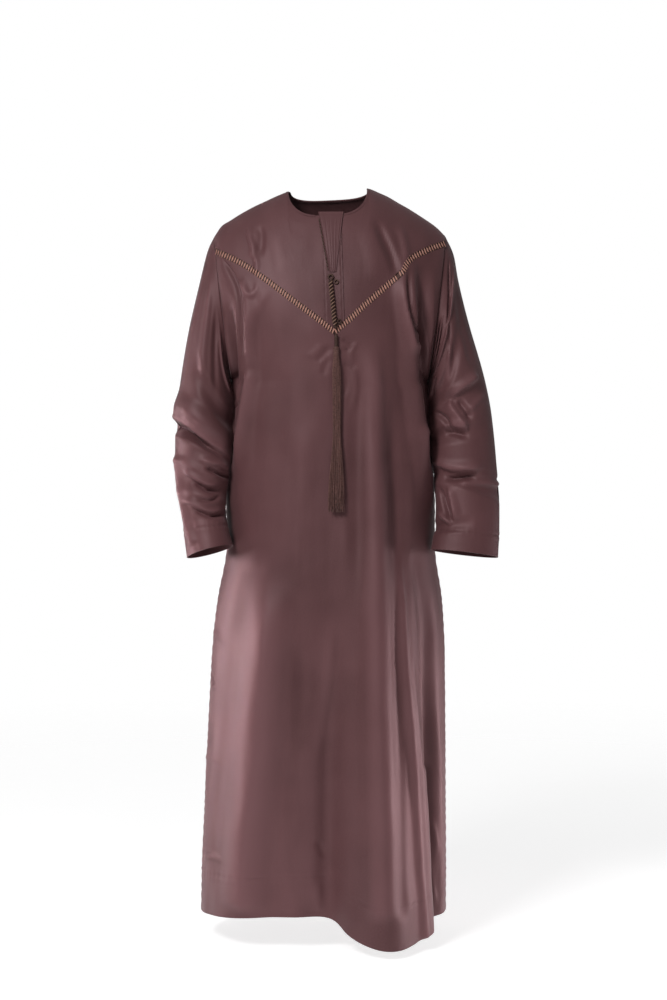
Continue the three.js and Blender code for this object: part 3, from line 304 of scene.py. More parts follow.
BACK_CREASES = crease_list([
    ([(-150, -60), (-120, -110), (-60, -150), (10, -160)], 22, 20, 2.6, 2),
    ([(140, -70), (110, -130), (60, -170), (0, -190)], 20, 24, -2.4, 2),
    ([(-160, -150), (-150, -250), (-130, -360), (-128, -500)], 16, 18, 4.4, 1.7),
    ([(-176, -200), (-172, -300), (-160, -420)], 12, 12, -4.0, 1.8),
    ([(158, -140), (150, -250), (138, -380), (140, -540)], 18, 14, 4.6, 1.7),
    ([(176, -210), (170, -330), (166, -430)], 12, 12, -4.0, 1.8),
    ([(-60, -190), (-70, -330), (-50, -480), (-60, -640)], 26, 22, -3.2, 2),
    ([(40, -220), (52, -360), (40, -520), (46, -700)], 24, 28, 3.4, 2),
    ([(100, -250), (92, -400), (104, -560)], 20, 18, -2.6, 2),
    ([(-100, -300), (-94, -420), (-106, -580)], 18, 18, 2.4, 2),
    ([(-150, -560), (-110, -600), (-50, -610), (10, -596)], 16, 20, 2.6, 1.8),
    ([(150, -600), (100, -640), (50, -650)], 18, 16, -2.6, 1.8),
    ([(-130, -680), (-138, -900), (-146, -1150), (-150, -1400)], 22, 18, 4.2, 1.7, 0.3, 0.05),
    ([(-30, -760), (-26, -960), (-20, -1200), (-22, -1400)], 20, 24, -4.0, 1.9, 0.3, 0.05),
    ([(60, -720), (66, -900), (60, -1150), (64, -1400)], 18, 22, 3.8, 1.7, 0.3, 0.05),
    ([(120, -800), (126, -1000), (130, -1400)], 18, 20, -3.8, 1.8, 0.3, 0.05),
    ([(176, -700), (186, -900), (192, -1150), (198, -1400)], 16, 18, 3.8, 1.7, 0.3, 0.05),
    ([(-186, -760), (-196, -960), (-204, -1400)], 18, 16, -3.8, 1.8, 0.3, 0.05),
    ([(-80, -880), (-76, -1100), (-84, -1400)], 14, 14, 2.4, 1.7, 0.3, 0.05),
])

SLEEVE_CREASES = {
    -1: crease_list([
        # above the elbow
        ([(58, 0.8), (66, 2.1), (72, 3.1), (80, 4.3)], 18, 18, 4.3, 1.8),
        ([(90, 0.8), (94, 2.0), (104, 3.2), (112, 4.4)], 14, 14, -4.6, 1.8),
        ([(104, 0.7), (116, 1.8), (136, 3.0), (160, 4.0)], 14, 9, 6.8, 1.5),
        ([(126, 1.2), (144, 2.6), (168, 3.6)], 9, 9, -6.8, 1.6),
        ([(24, 1.0), (30, 2.4), (28, 4.0)], 16, 16, 2.7, 2),
        # the deep fold at the elbow: its overhanging lip, the hollow under it and the flap below
        ([(-24, 5.0), (24, 5.15), (58, 5.3), (86, 5.6), (108, 5.85), (142, 6.1), (178, 6.4)],
         8, 54, 11.0, 1.4, 0.12, 0.25),
        ([(-16, 5.26), (28, 5.36), (58, 5.51), (92, 5.77), (112, 5.93), (150, 6.2)],
         17, 8, -16.0, 1.5, 0.12, 0.3),
        ([(20, 5.56), (58, 5.72), (96, 5.92), (130, 6.15)], 14, 8, 5.9, 1.5),
        # the stacked folds below the elbow
        ([(80, 6.35), (108, 6.48), (132, 6.55), (164, 6.68)], 8, 18, 7.3, 1.4),
        ([(96, 6.62), (116, 6.76), (142, 6.9), (178, 6.92)], 10, 7, -10.1, 1.5),
        ([(8, 6.35), (40, 6.42), (66, 6.58), (90, 6.85)], 8, 14, 4.1, 1.6),
        ([(46, 6.78), (62, 6.9), (88, 7.18), (116, 7.36), (152, 7.36)], 8, 16, 7.3, 1.4),
        ([(66, 7.12), (88, 7.36), (114, 7.57), (152, 7.55)], 10, 7, -10.1, 1.5),
        ([(72, 7.85), (96, 8.02), (120, 8.02), (150, 7.75)], 9, 9, -6.2, 1.6),
        ([(32, 7.85), (60, 8.08), (84, 8.34), (126, 8.56), (176, 8.32)], 8, 18, 7.0, 1.4),
        ([(56, 8.28), (84, 8.56), (126, 8.78), (172, 8.56)], 9, 7, -8.8, 1.5),
        ([(24, 5.9), (28, 6.7), (33, 7.8), (40, 8.8), (56, 9.8)], 30, 22, 6.8, 1.4, 0.2, 0.05),
        # the back
        ([(-40, 2.0), (-46, 3.6), (-40, 5.2)], 18, 16, -5.4, 1.8),
        ([(-100, 3.6), (-70, 4.4), (-30, 4.7)], 10, 16, 6.8, 1.5),
        ([(-130, 4.7), (-90, 5.2), (-50, 5.4)], 12, 9, -8.6, 1.6),
        ([(-120, 6.2), (-80, 6.6), (-40, 6.5)], 10, 16, 6.2, 1.5),
        ([(-60, 7.4), (-90, 8.2), (-130, 8.4)], 10, 12, -6.2, 1.6),
    ]),
    1: crease_list([
        # above the elbow, and the folds stacked beside the armhole
        ([(36, 0.5), (58, 0.9), (76, 1.9), (84, 2.8)], 10, 10, -6.8, 1.6),
        ([(20, 0.9), (58, 1.8), (100, 2.3), (150, 2.7)], 10, 16, 6.8, 1.5),
        ([(152, 1.5), (116, 1.25), (88, 0.95)], 10, 8, 6.8, 1.5),
        ([(152, 1.2), (120, 0.92), (92, 0.65)], 8, 8, -8.1, 1.5),
        ([(152, 0.9), (120, 0.6), (98, 0.36)], 9, 8, 6.2, 1.5),
        ([(160, 2.1), (130, 1.85), (104, 1.6)], 9, 9, -8.8, 1.5),
        ([(84, 2.6), (96, 3.3), (112, 3.9)], 14, 12, 4.9, 1.7),
        ([(126, 2.9), (138, 3.5), (154, 4.2)], 10, 10, -6.8, 1.6),
        ([(40, 1.6), (46, 3.0), (44, 4.0)], 18, 18, -3.0, 2),
        # the fold that doubles back on itself at the elbow
        ([(36, 4.1), (58, 4.18), (86, 4.3), (110, 4.45)], 8, 22, 8.1, 1.4),
        ([(112, 4.42), (98, 5.0), (82, 5.55)], 8, 22, 7.3, 1.4, 0.15, 0.15),
        ([(78, 5.6), (102, 5.42), (128, 5.28)], 8, 20, 7.3, 1.4, 0.15, 0.3),
        ([(94, 4.55), (82, 4.95), (72, 5.4)], 14, 9, -9.5, 1.6),
        ([(150, 4.6), (122, 5.05), (106, 5.7)], 10, 10, -9.5, 1.6),
        ([(78, 5.82), (104, 5.64), (132, 5.5)], 10, 7, -8.1, 1.5),
        ([(26, 4.7), (50, 4.8), (72, 5.0), (94, 5.1)], 9, 12, 3.2, 1.7),
        # below the elbow
        ([(170, 6.4), (122, 6.76), (90, 6.78), (48, 6.7)], 22, 8, 8.6, 1.35),
        ([(140, 7.02), (120, 7.06), (90, 7.0), (60, 6.9)], 7, 11, -11.5, 1.5),
        ([(112, 7.2), (72, 7.24), (4, 7.22)], 12, 10, 4.9, 1.6, 0.3, 0.1),
        ([(40, 7.05), (10, 7.05), (-16, 7.08)], 8, 8, -2.4, 1.6, 0.4, 0.3),
        ([(128, 7.3), (122, 7.95), (115, 8.8)], 20, 8, 7.6, 1.4),
        ([(150, 7.3), (138, 8.1), (121, 8.9)], 9, 11, -10.8, 1.5),
        ([(160, 8.3), (140, 8.7), (118, 9.0)], 12, 9, 4.9, 1.6),
        # the back
        ([(-36, 2.2), (-44, 3.6), (-36, 5.0)], 18, 16, -5.4, 1.8),
        ([(-96, 3.8), (-66, 4.5), (-26, 4.6)], 10, 16, 6.8, 1.5),
        ([(-126, 4.8), (-86, 5.4), (-46, 5.3)], 12, 9, -8.6, 1.6),
        ([(-116, 6.4), (-76, 6.7), (-36, 6.4)], 10, 16, 6.2, 1.5),
        ([(-50, 7.6), (-90, 8.0), (-130, 8.6)], 10, 12, -6.2, 1.6),
    ]),
}

# Small uneven waves that keep broad cloth from looking pressed: cycles a metre across and down,
# starting angle and height in millimetres.
WAVES = columns("across down start height", [
    (5.3, 1.1, 0.4, 0.55), (9.1, -2.3, 2.1, 0.4), (12.7, 3.6, 4.0, 0.3), (3.7, 4.9, 1.2, 0.4),
    (17.9, -4.7, 5.1, 0.18), (7.1, 8.3, 3.3, 0.2), (23.0, 6.1, 0.9, 0.12), (14.3, -11.0, 2.7, 0.12),
])


def mix(a, b, share):
    return a + (b - a) * share


def limited(share):
    return np.clip(share, 0.0, 1.0)


def smooth(share):
    t = limited(share)
    return t * t * (3 - 2 * t)


def bell(value, middle, width):
    return np.exp(-(((value - middle) / width) ** 2))


def uneven_wave(along, turn, sway, drift):
    return np.sin(along * turn + sway * np.sin(along * drift))


def unit(v):
    return v / (np.linalg.norm(v, axis=-1, keepdims=True) + TINY)


def arrays(*values):
    return np.broadcast_arrays(*(np.asarray(value, float) for value in values))


def rows_of(table):
    """The rows of a table, one after the other."""
    for row in zip(*table.values()):
        yield SimpleNamespace(**dict(zip(table, row)))


def through(table, key, column, place):
    """A smooth curve through one column of a table, read at place."""
    order = np.argsort(table[key])
    at, value = table[key][order], table[column][order]
    last = len(at) - 1
    above = np.minimum(np.arange(last + 1) + 1, last)
    under = np.maximum(np.arange(last + 1) - 1, 0)
    slope = (value[above] - value[under]) / (at[above] - at[under])
    p = np.clip(place, at[0], at[-1])
    i = np.clip(np.searchsorted(at, p, side="right") - 1, 0, last - 1)
    span = at[i + 1] - at[i]
    t = (p - at[i]) / span
    t2, t3 = t * t, t * t * t
    return (
        (2 * t3 - 3 * t2 + 1) * value[i]
        + (t3 - 2 * t2 + t) * span * slope[i]
        + (3 * t2 - 2 * t3) * value[i + 1]
        + (t3 - t2) * span * slope[i + 1]
    )


def seam_height(s):
    return through(SHOULDER_LINE, "s", "z", s)


def v_height(s):
    return np.where(s < 0, through(V_RIGHT, "s", "z", s), through(V_LEFT, "s", "z", s))


def hem_height(face, s):
    return through(FRONT_HEM, "s", "z", s) if face < 0 else np.full(np.shape(s), float(BACK_HEM_Z))


def top_height(face, s):
    """Height of a panel's top edge: the shoulder seam, or the neck's curve."""
    across = np.minimum(np.abs(s) / NECK_SIDE, 1)
    return seam_height(s) - NECK_DROP[face] * np.sqrt(1 - across**3)


def half_width(s, z):
    skirt = np.where(s < 0, through(BODY, "z", "right", z), through(BODY, "z", "left", z))
    share = limited((z - ARMPIT_Z) / (2 * ARMHOLE_HALF))
    return np.where(z <= ARMPIT_Z, skirt, mix(ARMPIT_X, SHOULDER_HALF, share))


def fold_height(folds, s, z):
    total = np.zeros(np.broadcast(s, z).shape)
    for fold in rows_of(folds):
        along = (fold.z_from - z) / (fold.z_from - fold.z_to)
        off = (s - mix(fold.s_from, fold.s_to, along)) / fold.width
        inside = (along > 0) & (along < 1) & (np.abs(off) < 1)
        come = smooth(along / fold.rise)
        go = smooth((1 - along) / fold.fade) if fold.fade > 0 else 1
        total += np.where(inside, fold.depth * (1 - off * off) ** 2 * come * go, 0)
    return total


def armhole_reach(face, s, below):
    """How far the armhole stands forward, fading slowly below its middle away from the seam."""
    fade, seam_width = 1.5, 0.14
    up = (below - ARMHOLE_HALF) / ARMHOLE_HALF
    ring = np.sqrt(limited(1 - up * up))
    slow = 0.5 + 0.5 * np.cos(math.pi * limited(up / fade))
    away = smooth((1 - np.abs(s)) / seam_width)
    return ARMHOLE_REACH[face] * np.where(up > 0, mix(ring, slow, away), ring)


def crease_height(paths, u, v):
    """Height of all the creases at u and v, the millimetres across and down the cloth."""
    total = np.zeros(u.shape)
    for crease, line in paths:
        reach = max(crease.left, crease.right)
        low, high = line.min(0) - reach, line.max(0) + reach
        near = (u > low[0]) & (u < high[0]) & (v > low[1]) & (v < high[1])
        if not near.any():
            continue
        p = np.stack([u[near], v[near]], -1)
        best = np.full(len(p), np.inf)
        side, place = np.zeros(len(p)), np.zeros(len(p))
        for k in range(len(line) - 1):
            a, d = line[k], line[k + 1] - line[k]
            t = limited(((p - a) @ d) / (d @ d))
            off = p - a - t[:, None] * d
            gap = np.hypot(off[:, 0], off[:, 1])
            closer = gap < best
            best = np.where(closer, gap, best)
            side = np.where(closer, off[:, 1] * d[0] - off[:, 0] * d[1], side)
            place = np.where(closer, (k + t) / (len(line) - 1), place)
        share = best / np.where(side < 0, crease.left, crease.right)
        form = np.where(share < 1, (1 - np.minimum(share, 1) ** crease.crisp) ** 2, 0)
        ends = smooth(place / crease.start) * smooth((1 - place) / crease.finish)
        total[near] += crease.depth * form * ends
    return total


def smooth_line(points, steps=7):
    """A rounded path through a few points."""
    p = np.array(points, float)
    p = np.vstack([2 * p[0] - p[1], p, 2 * p[-1] - p[-2]])
    line = []
    for i in range(1, len(p) - 2):
        for t in np.linspace(0, 1, steps, endpoint=False):
            a, b, c, d = p[i - 1 : i + 3]
            bend, twist = 2 * a - 5 * b + 4 * c - d, 3 * b - a - 3 * c + d
            line.append(0.5 * (2 * b + (c - a) * t + bend * t**2 + twist * t**3))
    line.append(p[-2])
    return np.array(line)


def waves(u, v):
    total = np.zeros(np.broadcast(u, v).shape)
    for wave in rows_of(WAVES):
        angle = 2 * math.pi * (wave.across * u + wave.down * v) * MM + wave.start
        total = total + wave.height * np.sin(angle)
    return total


def body_base(face, s, z):
    """A point on the outside of the body with its main folds only, the direction in which folds move
    it, and how far it lies below the shoulder seam."""
    s, z = arrays(s, z)
    half = half_width(s, z)
    below = np.maximum(0, seam_height(s) - z)
    swell = np.sqrt(1 - (1 - np.minimum(below / CHEST_ROUND[face], 1)) ** 2)
    full = np.sqrt(1 - np.minimum(1, np.abs(s)) ** CHEST_SQUARE)
    depth = through(BODY, "z", "front" if face < 0 else "back", z)
    middle = through(BODY, "z", "middle", z) if face < 0 else 0
    x = s * half + middle * (1 - s * s)
    y = face * ((1 - full) * armhole_reach(face, s, below) + full * depth * swell)
    quiet = smooth((1 - np.abs(s)) / QUIET_SIDE) * smooth((below - QUIET_TOP) / QUIET_FADE)
    out = fold_height(FRONT_FOLDS if face < 0 else BACK_FOLDS, s, z) * quiet
    away = unit(np.stack([x / half**2, y / depth**2, np.zeros_like(x)], -1))
    return np.stack([x, y, z], -1) + away * out[..., None], away, below


def place_at(face, x, z):
    """The place across a panel whose point lies at x, at height z."""
    x, z = arrays(x, z)
    low, high = np.full(x.shape, -PLACE_END), np.full(x.shape, PLACE_END)
    for _ in range(HALVINGS):
        s = (low + high) / 2
        left = body_base(face, s, z)[0][..., 0] < x
        low, high = np.where(left, s, low), np.where(left, high, s)
    return (low + high) / 2


def body_paths(face, creases):
    paths = []
    for crease in creases:
        line = smooth_line(crease.path)
        s = place_at(face, line[:, 0], line[:, 1])
        paths.append((crease, np.stack([ROUND * np.arcsin(s), line[:, 1]], -1)))
    return paths


def sleeve_paths(creases):
    step = np.array([TURN_STEP, -RING_STEP])
    return [(crease, smooth_line(crease.path) * step) for crease in creases]


NECK_FRONT_Z = float(top_height(-1, 0.0))
BODY_PATHS = {-1: body_paths(-1, FRONT_CREASES), 1: body_paths(1, BACK_CREASES)}
SLEEVE_PATHS = {side: sleeve_paths(creases) for side, creases in SLEEVE_CREASES.items()}


def seam_dip(distance):
    """How far cloth is drawn in beside a seam."""
    return -SEAM_DIP * limited(1 - distance / SEAM_REACH) ** 2


def stitch_dent(distance, along, puckers):
    """The groove along a row of stitches, with small puckers to both sides."""
    groove = -0.7 * bell(distance, 0, 1.6)
    swell = 0.45 * bell(np.abs(distance), 5, 4)
    ripple = uneven_wave(along, 0.42, 1.3, 0.061) + 0.6 * np.sin(along * 0.73 + 2)
    return groove + swell + puckers * ripple * bell(distance, 0, 9)


def body_point(face, s, z):
    """A point on the outside of the body with everything that shapes its cloth."""
    point, away, below = body_base(face, s, z)
    s, z = arrays(s, z)
    angle = np.arcsin(np.clip(s, -1, 1))
    u = ROUND * angle
    to_side = ROUND * (math.pi / 2 - np.abs(angle))
    calm = smooth(to_side / 26) * smooth((below - 3) / 22)
    creases = crease_height(BODY_PATHS[face], u, z) + waves(u + 400 * face, z)
    dip = seam_dip(to_side) + np.where(np.abs(s) > NECK_SIDE, seam_dip(below), 0)
    pull = 0.5 * uneven_wave(z, 0.33, 1.5, 0.047) * bell(to_side, 9, 8) * smooth((ARMPIT_Z - z) / 40)
    hem = stitch_dent(z - hem_height(face, s) - HEM_STITCH, u, 0.28)
    return point + away * (creases * calm + dip + hem + pull)[..., None]


def sleeve_point(side, ring, angle):
    """A point on the outside of a sleeve."""
    ring, angle = arrays(ring, angle)
    names = SLEEVE_NAMES.split()[1:]
    read = SimpleNamespace(**{name: through(SLEEVE[side], "ring", name, ring) for name in names})
    zero = np.zeros_like(ring)
    outer = np.stack([side * read.out_x, zero, read.out_z], -1)
    inner = np.stack([side * read.in_x, zero, read.in_z], -1)
    centre = (outer + inner) / 2
    centre[..., 1] = read.y
    half = np.linalg.norm(outer - inner, axis=-1) / 2
    sideways = (outer - inner) / (2 * half[..., None])
    tip = np.radians(read.tip)
    forward = np.stack([zero, -np.cos(tip), np.sin(tip)], -1)
    c, s = np.cos(angle), np.sin(angle)
    reach = np.where(s > 0, read.front, read.back)
    point = centre + sideways * (half * c)[..., None] + forward * (reach * s)[..., None]
    away = unit(sideways * (c / half)[..., None] + forward * (s / reach)[..., None])

    turn, to_cuff = np.degrees(angle), LAST_RING - ring
    bent = np.zeros_like(ring)
    for bend in rows_of(SLEEVE_BENDS[side]):
        around = (turn - bend.turn) / bend.reach
        along = (ring - bend.ring - bend.slant * (1 - c) / 2) / bend.width
        inside = (np.abs(around) < 1) & (np.abs(along) < 1)
        bent += np.where(inside, bend.depth * (1 - along**2) ** 2 * (1 - around**2), 0)
    turned = np.where(turn > 180, turn - 360, turn)
    v = -RING_STEP * ring
    fine = waves(90 * s + 300 * side, v + 60 * c)
    for lap in (0, 360):
        fine = fine + crease_height(SLEEVE_PATHS[side], TURN_STEP * (turned + lap), v)
    cuff = stitch_dent(to_cuff * CUFF_RING_STEP - CUFF_STITCH, turn * TURN_STEP, 0.22)
    out = bent * smooth(ring) * smooth(to_cuff) + fine * smooth(ring / 0.35) * smooth(to_cuff / 0.5)
    return point + away * (out + seam_dip(ring * RING_STEP) + cuff)[..., None]


def outward(surface, a, b, step_a, step_b, towards):
    """Unit directions out of a surface, on the side that towards points to."""
    across = surface(a + step_a, b) - surface(a - step_a, b)
    down = surface(a, b + step_b) - surface(a, b - step_b)
    out = unit(np.cross(across, down))
    out[np.sum(out * towards, -1) < 0] *= -1
    return out


def lifted(point, out, lift):
    return point + out * np.asarray(lift, float)[..., None], out


def on_body_at(face, s, z, lift=0):
    """A point of the front or back at place s, moved out of the cloth by lift, and the way out."""
    point = body_point(face, s, z)
    out = outward(lambda a, b: body_point(face, a, b), s, z, 0.006, 1.5, point * [1, 1, 0])
    return lifted(point, out, lift)


def on_body(face, x, z, lift=0):
    """The same for a point that is given by its x and z."""
    x, z = arrays(x, z)
    return on_body_at(face, place_at(face, x, z), z, lift)


def on_sleeve(side, ring, angle, lift=0):
    ring, angle = arrays(ring, angle)
    point = sleeve_point(side, ring, angle)
    heart = (point + sleeve_point(side, ring, angle + math.pi)) / 2
    out = outward(lambda a, b: sleeve_point(side, a, b), ring, angle, 0.03, 0.02, point - heart)
    return lifted(point, out, lift)


# Shaders


class Value:
    """A shader socket that takes part in arithmetic: each operator adds a Math node."""

    def __init__(self, graph, socket):
        self.graph = graph
        self.socket = socket

    def _math(self, operation, *values):
        return self.graph.node("ShaderNodeMath", {"operation": operation}, dict(enumerate(values)))

    def __add__(self, other):
        return self._math("ADD", self, other)

    __radd__ = __add__

    def __sub__(self, other):
        return self._math("SUBTRACT", self, other)

    def __rsub__(self, other):
        return self._math("SUBTRACT", other, self)

    def __mul__(self, other):
        return self._math("MULTIPLY", self, other)

    __rmul__ = __mul__

    def __truediv__(self, other):
        return self._math("DIVIDE", self, other)

    def wave(self):
        return self._math("SINE", self)

    def clamped(self):
        return self._math("MINIMUM", self._math("MAXIMUM", self, 0.0), 1.0)


class Graph:
    """The nodes of one material or world."""

    def __init__(self, owner):
        owner.use_nodes = True
        self.owner = owner
        self.tree = owner.node_tree
        self.tree.nodes.clear()

    def node(self, kind, settings=None, sockets=None, out=0):
        """Adds a node of that type, makes its settings, then sets or links its sockets."""
        made = self.tree.nodes.new(kind)
        for name, value in (settings or {}).items():
            setattr(made, name, value)
        for name, value in (sockets or {}).items():
            socket = made.inputs[name]
            if isinstance(value, Value):
                self.tree.links.new(value.socket, socket)
            elif socket.type == "RGBA" and len(value) == 3:
                socket.default_value = (*value, 1)
            else:
                socket.default_value = value
        return Value(self, made.outputs[out]) if made.outputs else made

    def place(self):
        return self.node("ShaderNodeTexCoord", out="Object")

    def cloth_place(self):
        return self.node("ShaderNodeUVMap", {"uv_map": "UVMap"})

    def noise(self, vector, scale, detail, rough=0.5, stretch=None):
        if stretch:
            vector = self.node("ShaderNodeMapping", {}, {"Vector": vector, "Scale": stretch})
        return self.node("ShaderNodeTexNoise", {"noise_dimensions": "3D"},
                         {"Vector": vector, "Scale": scale, "Detail": detail, "Roughness": rough})

    def colour_mix(self, share, a, b):
        return self.node("ShaderNodeMix", {"data_type": "RGBA"}, {0: share, 6: a, 7: b}, out=2)

    def bump(self, height, strength, distance, under=None):
        sockets = {"Height": height, "Strength": strength, "Distance": distance}
        if under:
            sockets["Normal"] = under
        return self.node("ShaderNodeBump", {}, sockets)

    def principled(self, sockets):
        return self.node("ShaderNodeBsdfPrincipled", {}, sockets)

    def finish(self, surface, kind="ShaderNodeOutputMaterial"):
        self.node(kind, {}, {"Surface": surface})
        return self.owner


def scaled(colour, share):
    return tuple(channel * share for channel in colour)


def cloth_material(name, colours, shade):
    """Fine plain-weave cloth with a soft sheen, slightly uneven in colour, with a painted highlight on its
    raised folds.
    """
    g = Graph(bpy.data.materials.new(name))
    place, uv = g.place(), g.cloth_place()
    across = g.node("ShaderNodeSeparateXYZ", {}, {0: uv})
    down = Value(g, across.socket.node.outputs[1])
    weave = 2 * math.pi / colours.weave_pitch
    threads = (across * weave).wave() * (down * weave).wave()
    slub = g.noise(uv, 900.0, 2.0, 0.6, stretch=(1.0, 0.06, 1.0))
    streak = g.noise(uv, 60.0, 3.0, 0.6, stretch=(1.0, 0.12, 1.0))
    mottle = g.noise(uv, 420.0, 2.0, 0.7)
    broad = g.noise(place, 5.0, 3.0, 0.55)
    dents = g.noise(place, 38.0, 2.0)
    rise = g.node("ShaderNodeAttribute", {"attribute_name": "rise"}, {}, out="Fac")
    body, deep, fold_highlight_and_mottle = (scaled(shown, shade) for shown in (colours.body, colours.deep, colours.fold_highlight_and_mottle))
    base = g.colour_mix((broad - 0.34) * 2.2, deep, body)
    # painted highlight: where the cloth rises (rise above zero) its colour is mixed towards the lighter
    # colour, as if the crests of the folds were lit
    base = g.colour_mix((rise * 0.55 + (streak - 0.5) * 0.35).clamped(), base, fold_highlight_and_mottle)
    base = g.colour_mix(((threads * 0.5 + 0.5) * 0.16).clamped(), base, deep)
    # random light mottle, mixed towards the same lighter colour
    base = g.colour_mix(((mottle - 0.5) * 1.6 + 0.5).clamped() * 0.3, base, fold_highlight_and_mottle)
    grain = threads * 0.35 + slub * 0.9 + streak * 0.5 + mottle * 0.6
    return g.finish(g.principled({
        "Base Color": base,
        "Roughness": 0.5 + (streak - 0.5) * 0.14,
        "Normal": g.bump(dents, 0.12, 0.002, g.bump(grain, 0.2, 0.0004)),
        "Specular IOR Level": 0.36,
        "Specular Tint": (1.0, 0.74, 0.77, 1),
        "Sheen Weight": 0.12,
        "Sheen Roughness": 0.4,
        "Sheen Tint": (0.95, 0.7, 0.74, 1),
    }))


def thread_material(name, light, dark, scale):
    """Twisted thread: light and dark strands with a fine grain."""
    g = Graph(bpy.data.materials.new(name))
    place = g.place()
    tone = g.noise(place, scale, 2.0, 0.6)
    broad = g.noise(place, 46.0, 2.0)
    base = g.colour_mix(((tone - 0.35) * 1.9).clamped(), dark, light)
    base = g.colour_mix(((broad - 0.42) * 2.0).clamped() * 0.45, base, scaled(light, 0.62))
    return g.finish(g.principled({
        "Base Color": base,
        "Roughness": 0.5 + (tone - 0.5) * 0.2,
        "Normal": g.bump(tone, 0.5, 0.0003),
        "Specular IOR Level": 0.22,
        "Sheen Weight": 0.05,
        "Sheen Roughness": 0.4,
    }))


# Meshes


def linked(name, data):
    made = bpy.data.objects.new(name, data)
    bpy.context.scene.collection.objects.link(made)
    return made


def finished(bm, name, material, smooth_faces=True):
    mesh = bpy.data.meshes.new(name)
    bm.to_mesh(mesh)
    bm.free()
    mesh.polygons.foreach_set("use_smooth", [smooth_faces] * len(mesh.polygons))
    mesh.materials.append(material)
    return linked(name, mesh)


def edged(share, count, edge):
    """Even shares with a first and last step of only edge, so that a rim stays crisp."""
    step = 1.0 / count
    inside = mix(edge, 1 - edge, (share - step) / (1 - 2 * step))
    return np.where(share < step / 2, 0.0, np.where(share > 1 - step / 2, 1.0, inside))


def cloth_sheet(name, across, down, place, towards, thickness, size, material, closed=False):
    """A sheet of across by down squares, in metres. place gives points in millimetres from the shares
    across and down the sheet, and how far the cloth rises there. towards gives the way out at a point."""
    bm = bmesh.new()
    uv = bm.loops.layers.uv.new("UVMap")
    rise = bm.verts.layers.float.new("rise")
    bmesh.ops.create_grid(bm, x_segments=across, y_segments=down, size=0.5)
    shares = np.array([v.co[:2] for v in bm.verts]) + 0.5
    a = shares[:, 0] if closed else edged(shares[:, 0], across, RIM_ACROSS)
    d = edged(1 - shares[:, 1], down, RIM_DOWN)
    points, rises = place(a, d)
    for vert, point, high in zip(bm.verts, (points * MM).tolist(), rises.tolist()):
        vert.co = point
        vert[rise] = high
    flat = np.stack([a * size[0], d * size[1]], -1).tolist()
    for face in bm.faces:
        for loop in face.loops:
            loop[uv].uv = flat[loop.vert.index]
    if closed:
        rim = [v for v, share in zip(bm.verts, shares[:, 0]) if share < 1e-4 or share > 1 - 1e-4]
        bmesh.ops.remove_doubles(bm, verts=rim, dist=1e-6)
    bm.normal_update()
    some = list(bm.faces)[:: max(1, across // 3)]
    if sum(face.normal.dot(towards(face.calc_center_median())) for face in some) < 0:
        bmesh.ops.reverse_faces(bm, faces=bm.faces)
    made = finished(bm, name, material)
    wall = made.modifiers.new("wall", "SOLIDIFY")
    wall.thickness = thickness
    wall.offset = -1
    wall.use_rim = True
    return made


def away_from(x=0.0, y=0.0):
    """The way out of a piece that stands round an upright line."""
    return lambda point: Vector((point.x - x, point.y - y, 0))


def always(*way):
    return lambda point: Vector(way)


def cords(name, paths, radii, material, sides=2, closed=False):
    """Round cords along paths in millimetres. radii is one radius, or a list with one for each path."""
    data = bpy.data.curves.new(name, "CURVE")
    data.dimensions = "3D"
    data.bevel_depth = 1.0
    data.bevel_resolution = sides
    data.use_fill_caps = not closed
    data.resolution_u = 1
    for i, path in enumerate(paths):
        radius = radii[i] if isinstance(radii, list) else radii
        spline = data.splines.new("POLY")
        spline.points.add(len(path) - 1)
        spline.points.foreach_set("co", np.hstack([np.array(path) * MM, np.ones((len(path), 1))]).ravel())
        spline.points.foreach_set("radius", np.full(len(path), radius * MM))
        spline.use_cyclic_u = closed
        spline.use_smooth = True
    carrier = linked(name, data)
    bpy.context.view_layer.update()
    shape = bpy.data.meshes.new_from_object(carrier.evaluated_get(bpy.context.evaluated_depsgraph_get()))
    bpy.data.objects.remove(carrier)
    bm = bmesh.new()
    bm.from_mesh(shape)
    bmesh.ops.remove_doubles(bm, verts=bm.verts, dist=1e-8)
    bmesh.ops.recalc_face_normals(bm, faces=bm.faces)
    return finished(bm, name, material)


def beads(name, stitches, material, detail=2):
    """Small rounded stitches. stitches holds their centres, the ways along and out, and their sizes
    along, aside and out, all in millimetres."""
    total = bmesh.new()
    scratch = bpy.data.meshes.new(name + "_part")
    for start in range(0, len(stitches[0]), BATCH):
        bm = bmesh.new()
        for centre, along, out, size in zip(*(values[start : start + BATCH] for values in stitches)):
            aside = unit(np.cross(out, along))
            ways = [along * size[0], aside * size[1], np.cross(along, aside) * size[2], centre]
            matrix = Matrix([*(np.stack(ways, 1) * MM).tolist(), [0, 0, 0, 1]])
            bmesh.ops.create_icosphere(bm, subdivisions=detail, radius=1.0, matrix=matrix)
        bm.to_mesh(scratch)
        total.from_mesh(scratch)
        bm.free()
    bpy.data.meshes.remove(scratch)
    bmesh.ops.recalc_face_normals(total, faces=total.faces)
    return finished(total, name, material)


def keep(piece, slot_name, *nodes):
    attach(piece, "root")
    if nodes:
        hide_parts(*nodes)


def along_line(at, lengths, line):
    return np.stack([np.interp(at, lengths, line[:, k]) for k in range(3)], -1)


def running(points, outs, pitch, share=0.62, width=0.42, lift=0.15, share_y=1.0):
    """Running stitches along a path: centres, ways along and out, and sizes. share_y is how much of the
    path's way back from the front counts towards the pitch."""
    steps = np.linalg.norm(np.diff(points, axis=0) * [1, share_y, 1], axis=1)
    lengths = np.concatenate([[0], np.cumsum(steps)])
    count = max(2, int(lengths[-1] / pitch))
    at = (np.arange(count) + 0.5) * lengths[-1] / count
    ahead = along_line(at + 0.5, lengths, points) - along_line(at - 0.5, lengths, points)
    out = unit(along_line(at, lengths, outs))
    size = np.tile([pitch * share / 2, width, width * 0.8], (count, 1))
    return along_line(at, lengths, points) + out * lift, unit(ahead), out, size


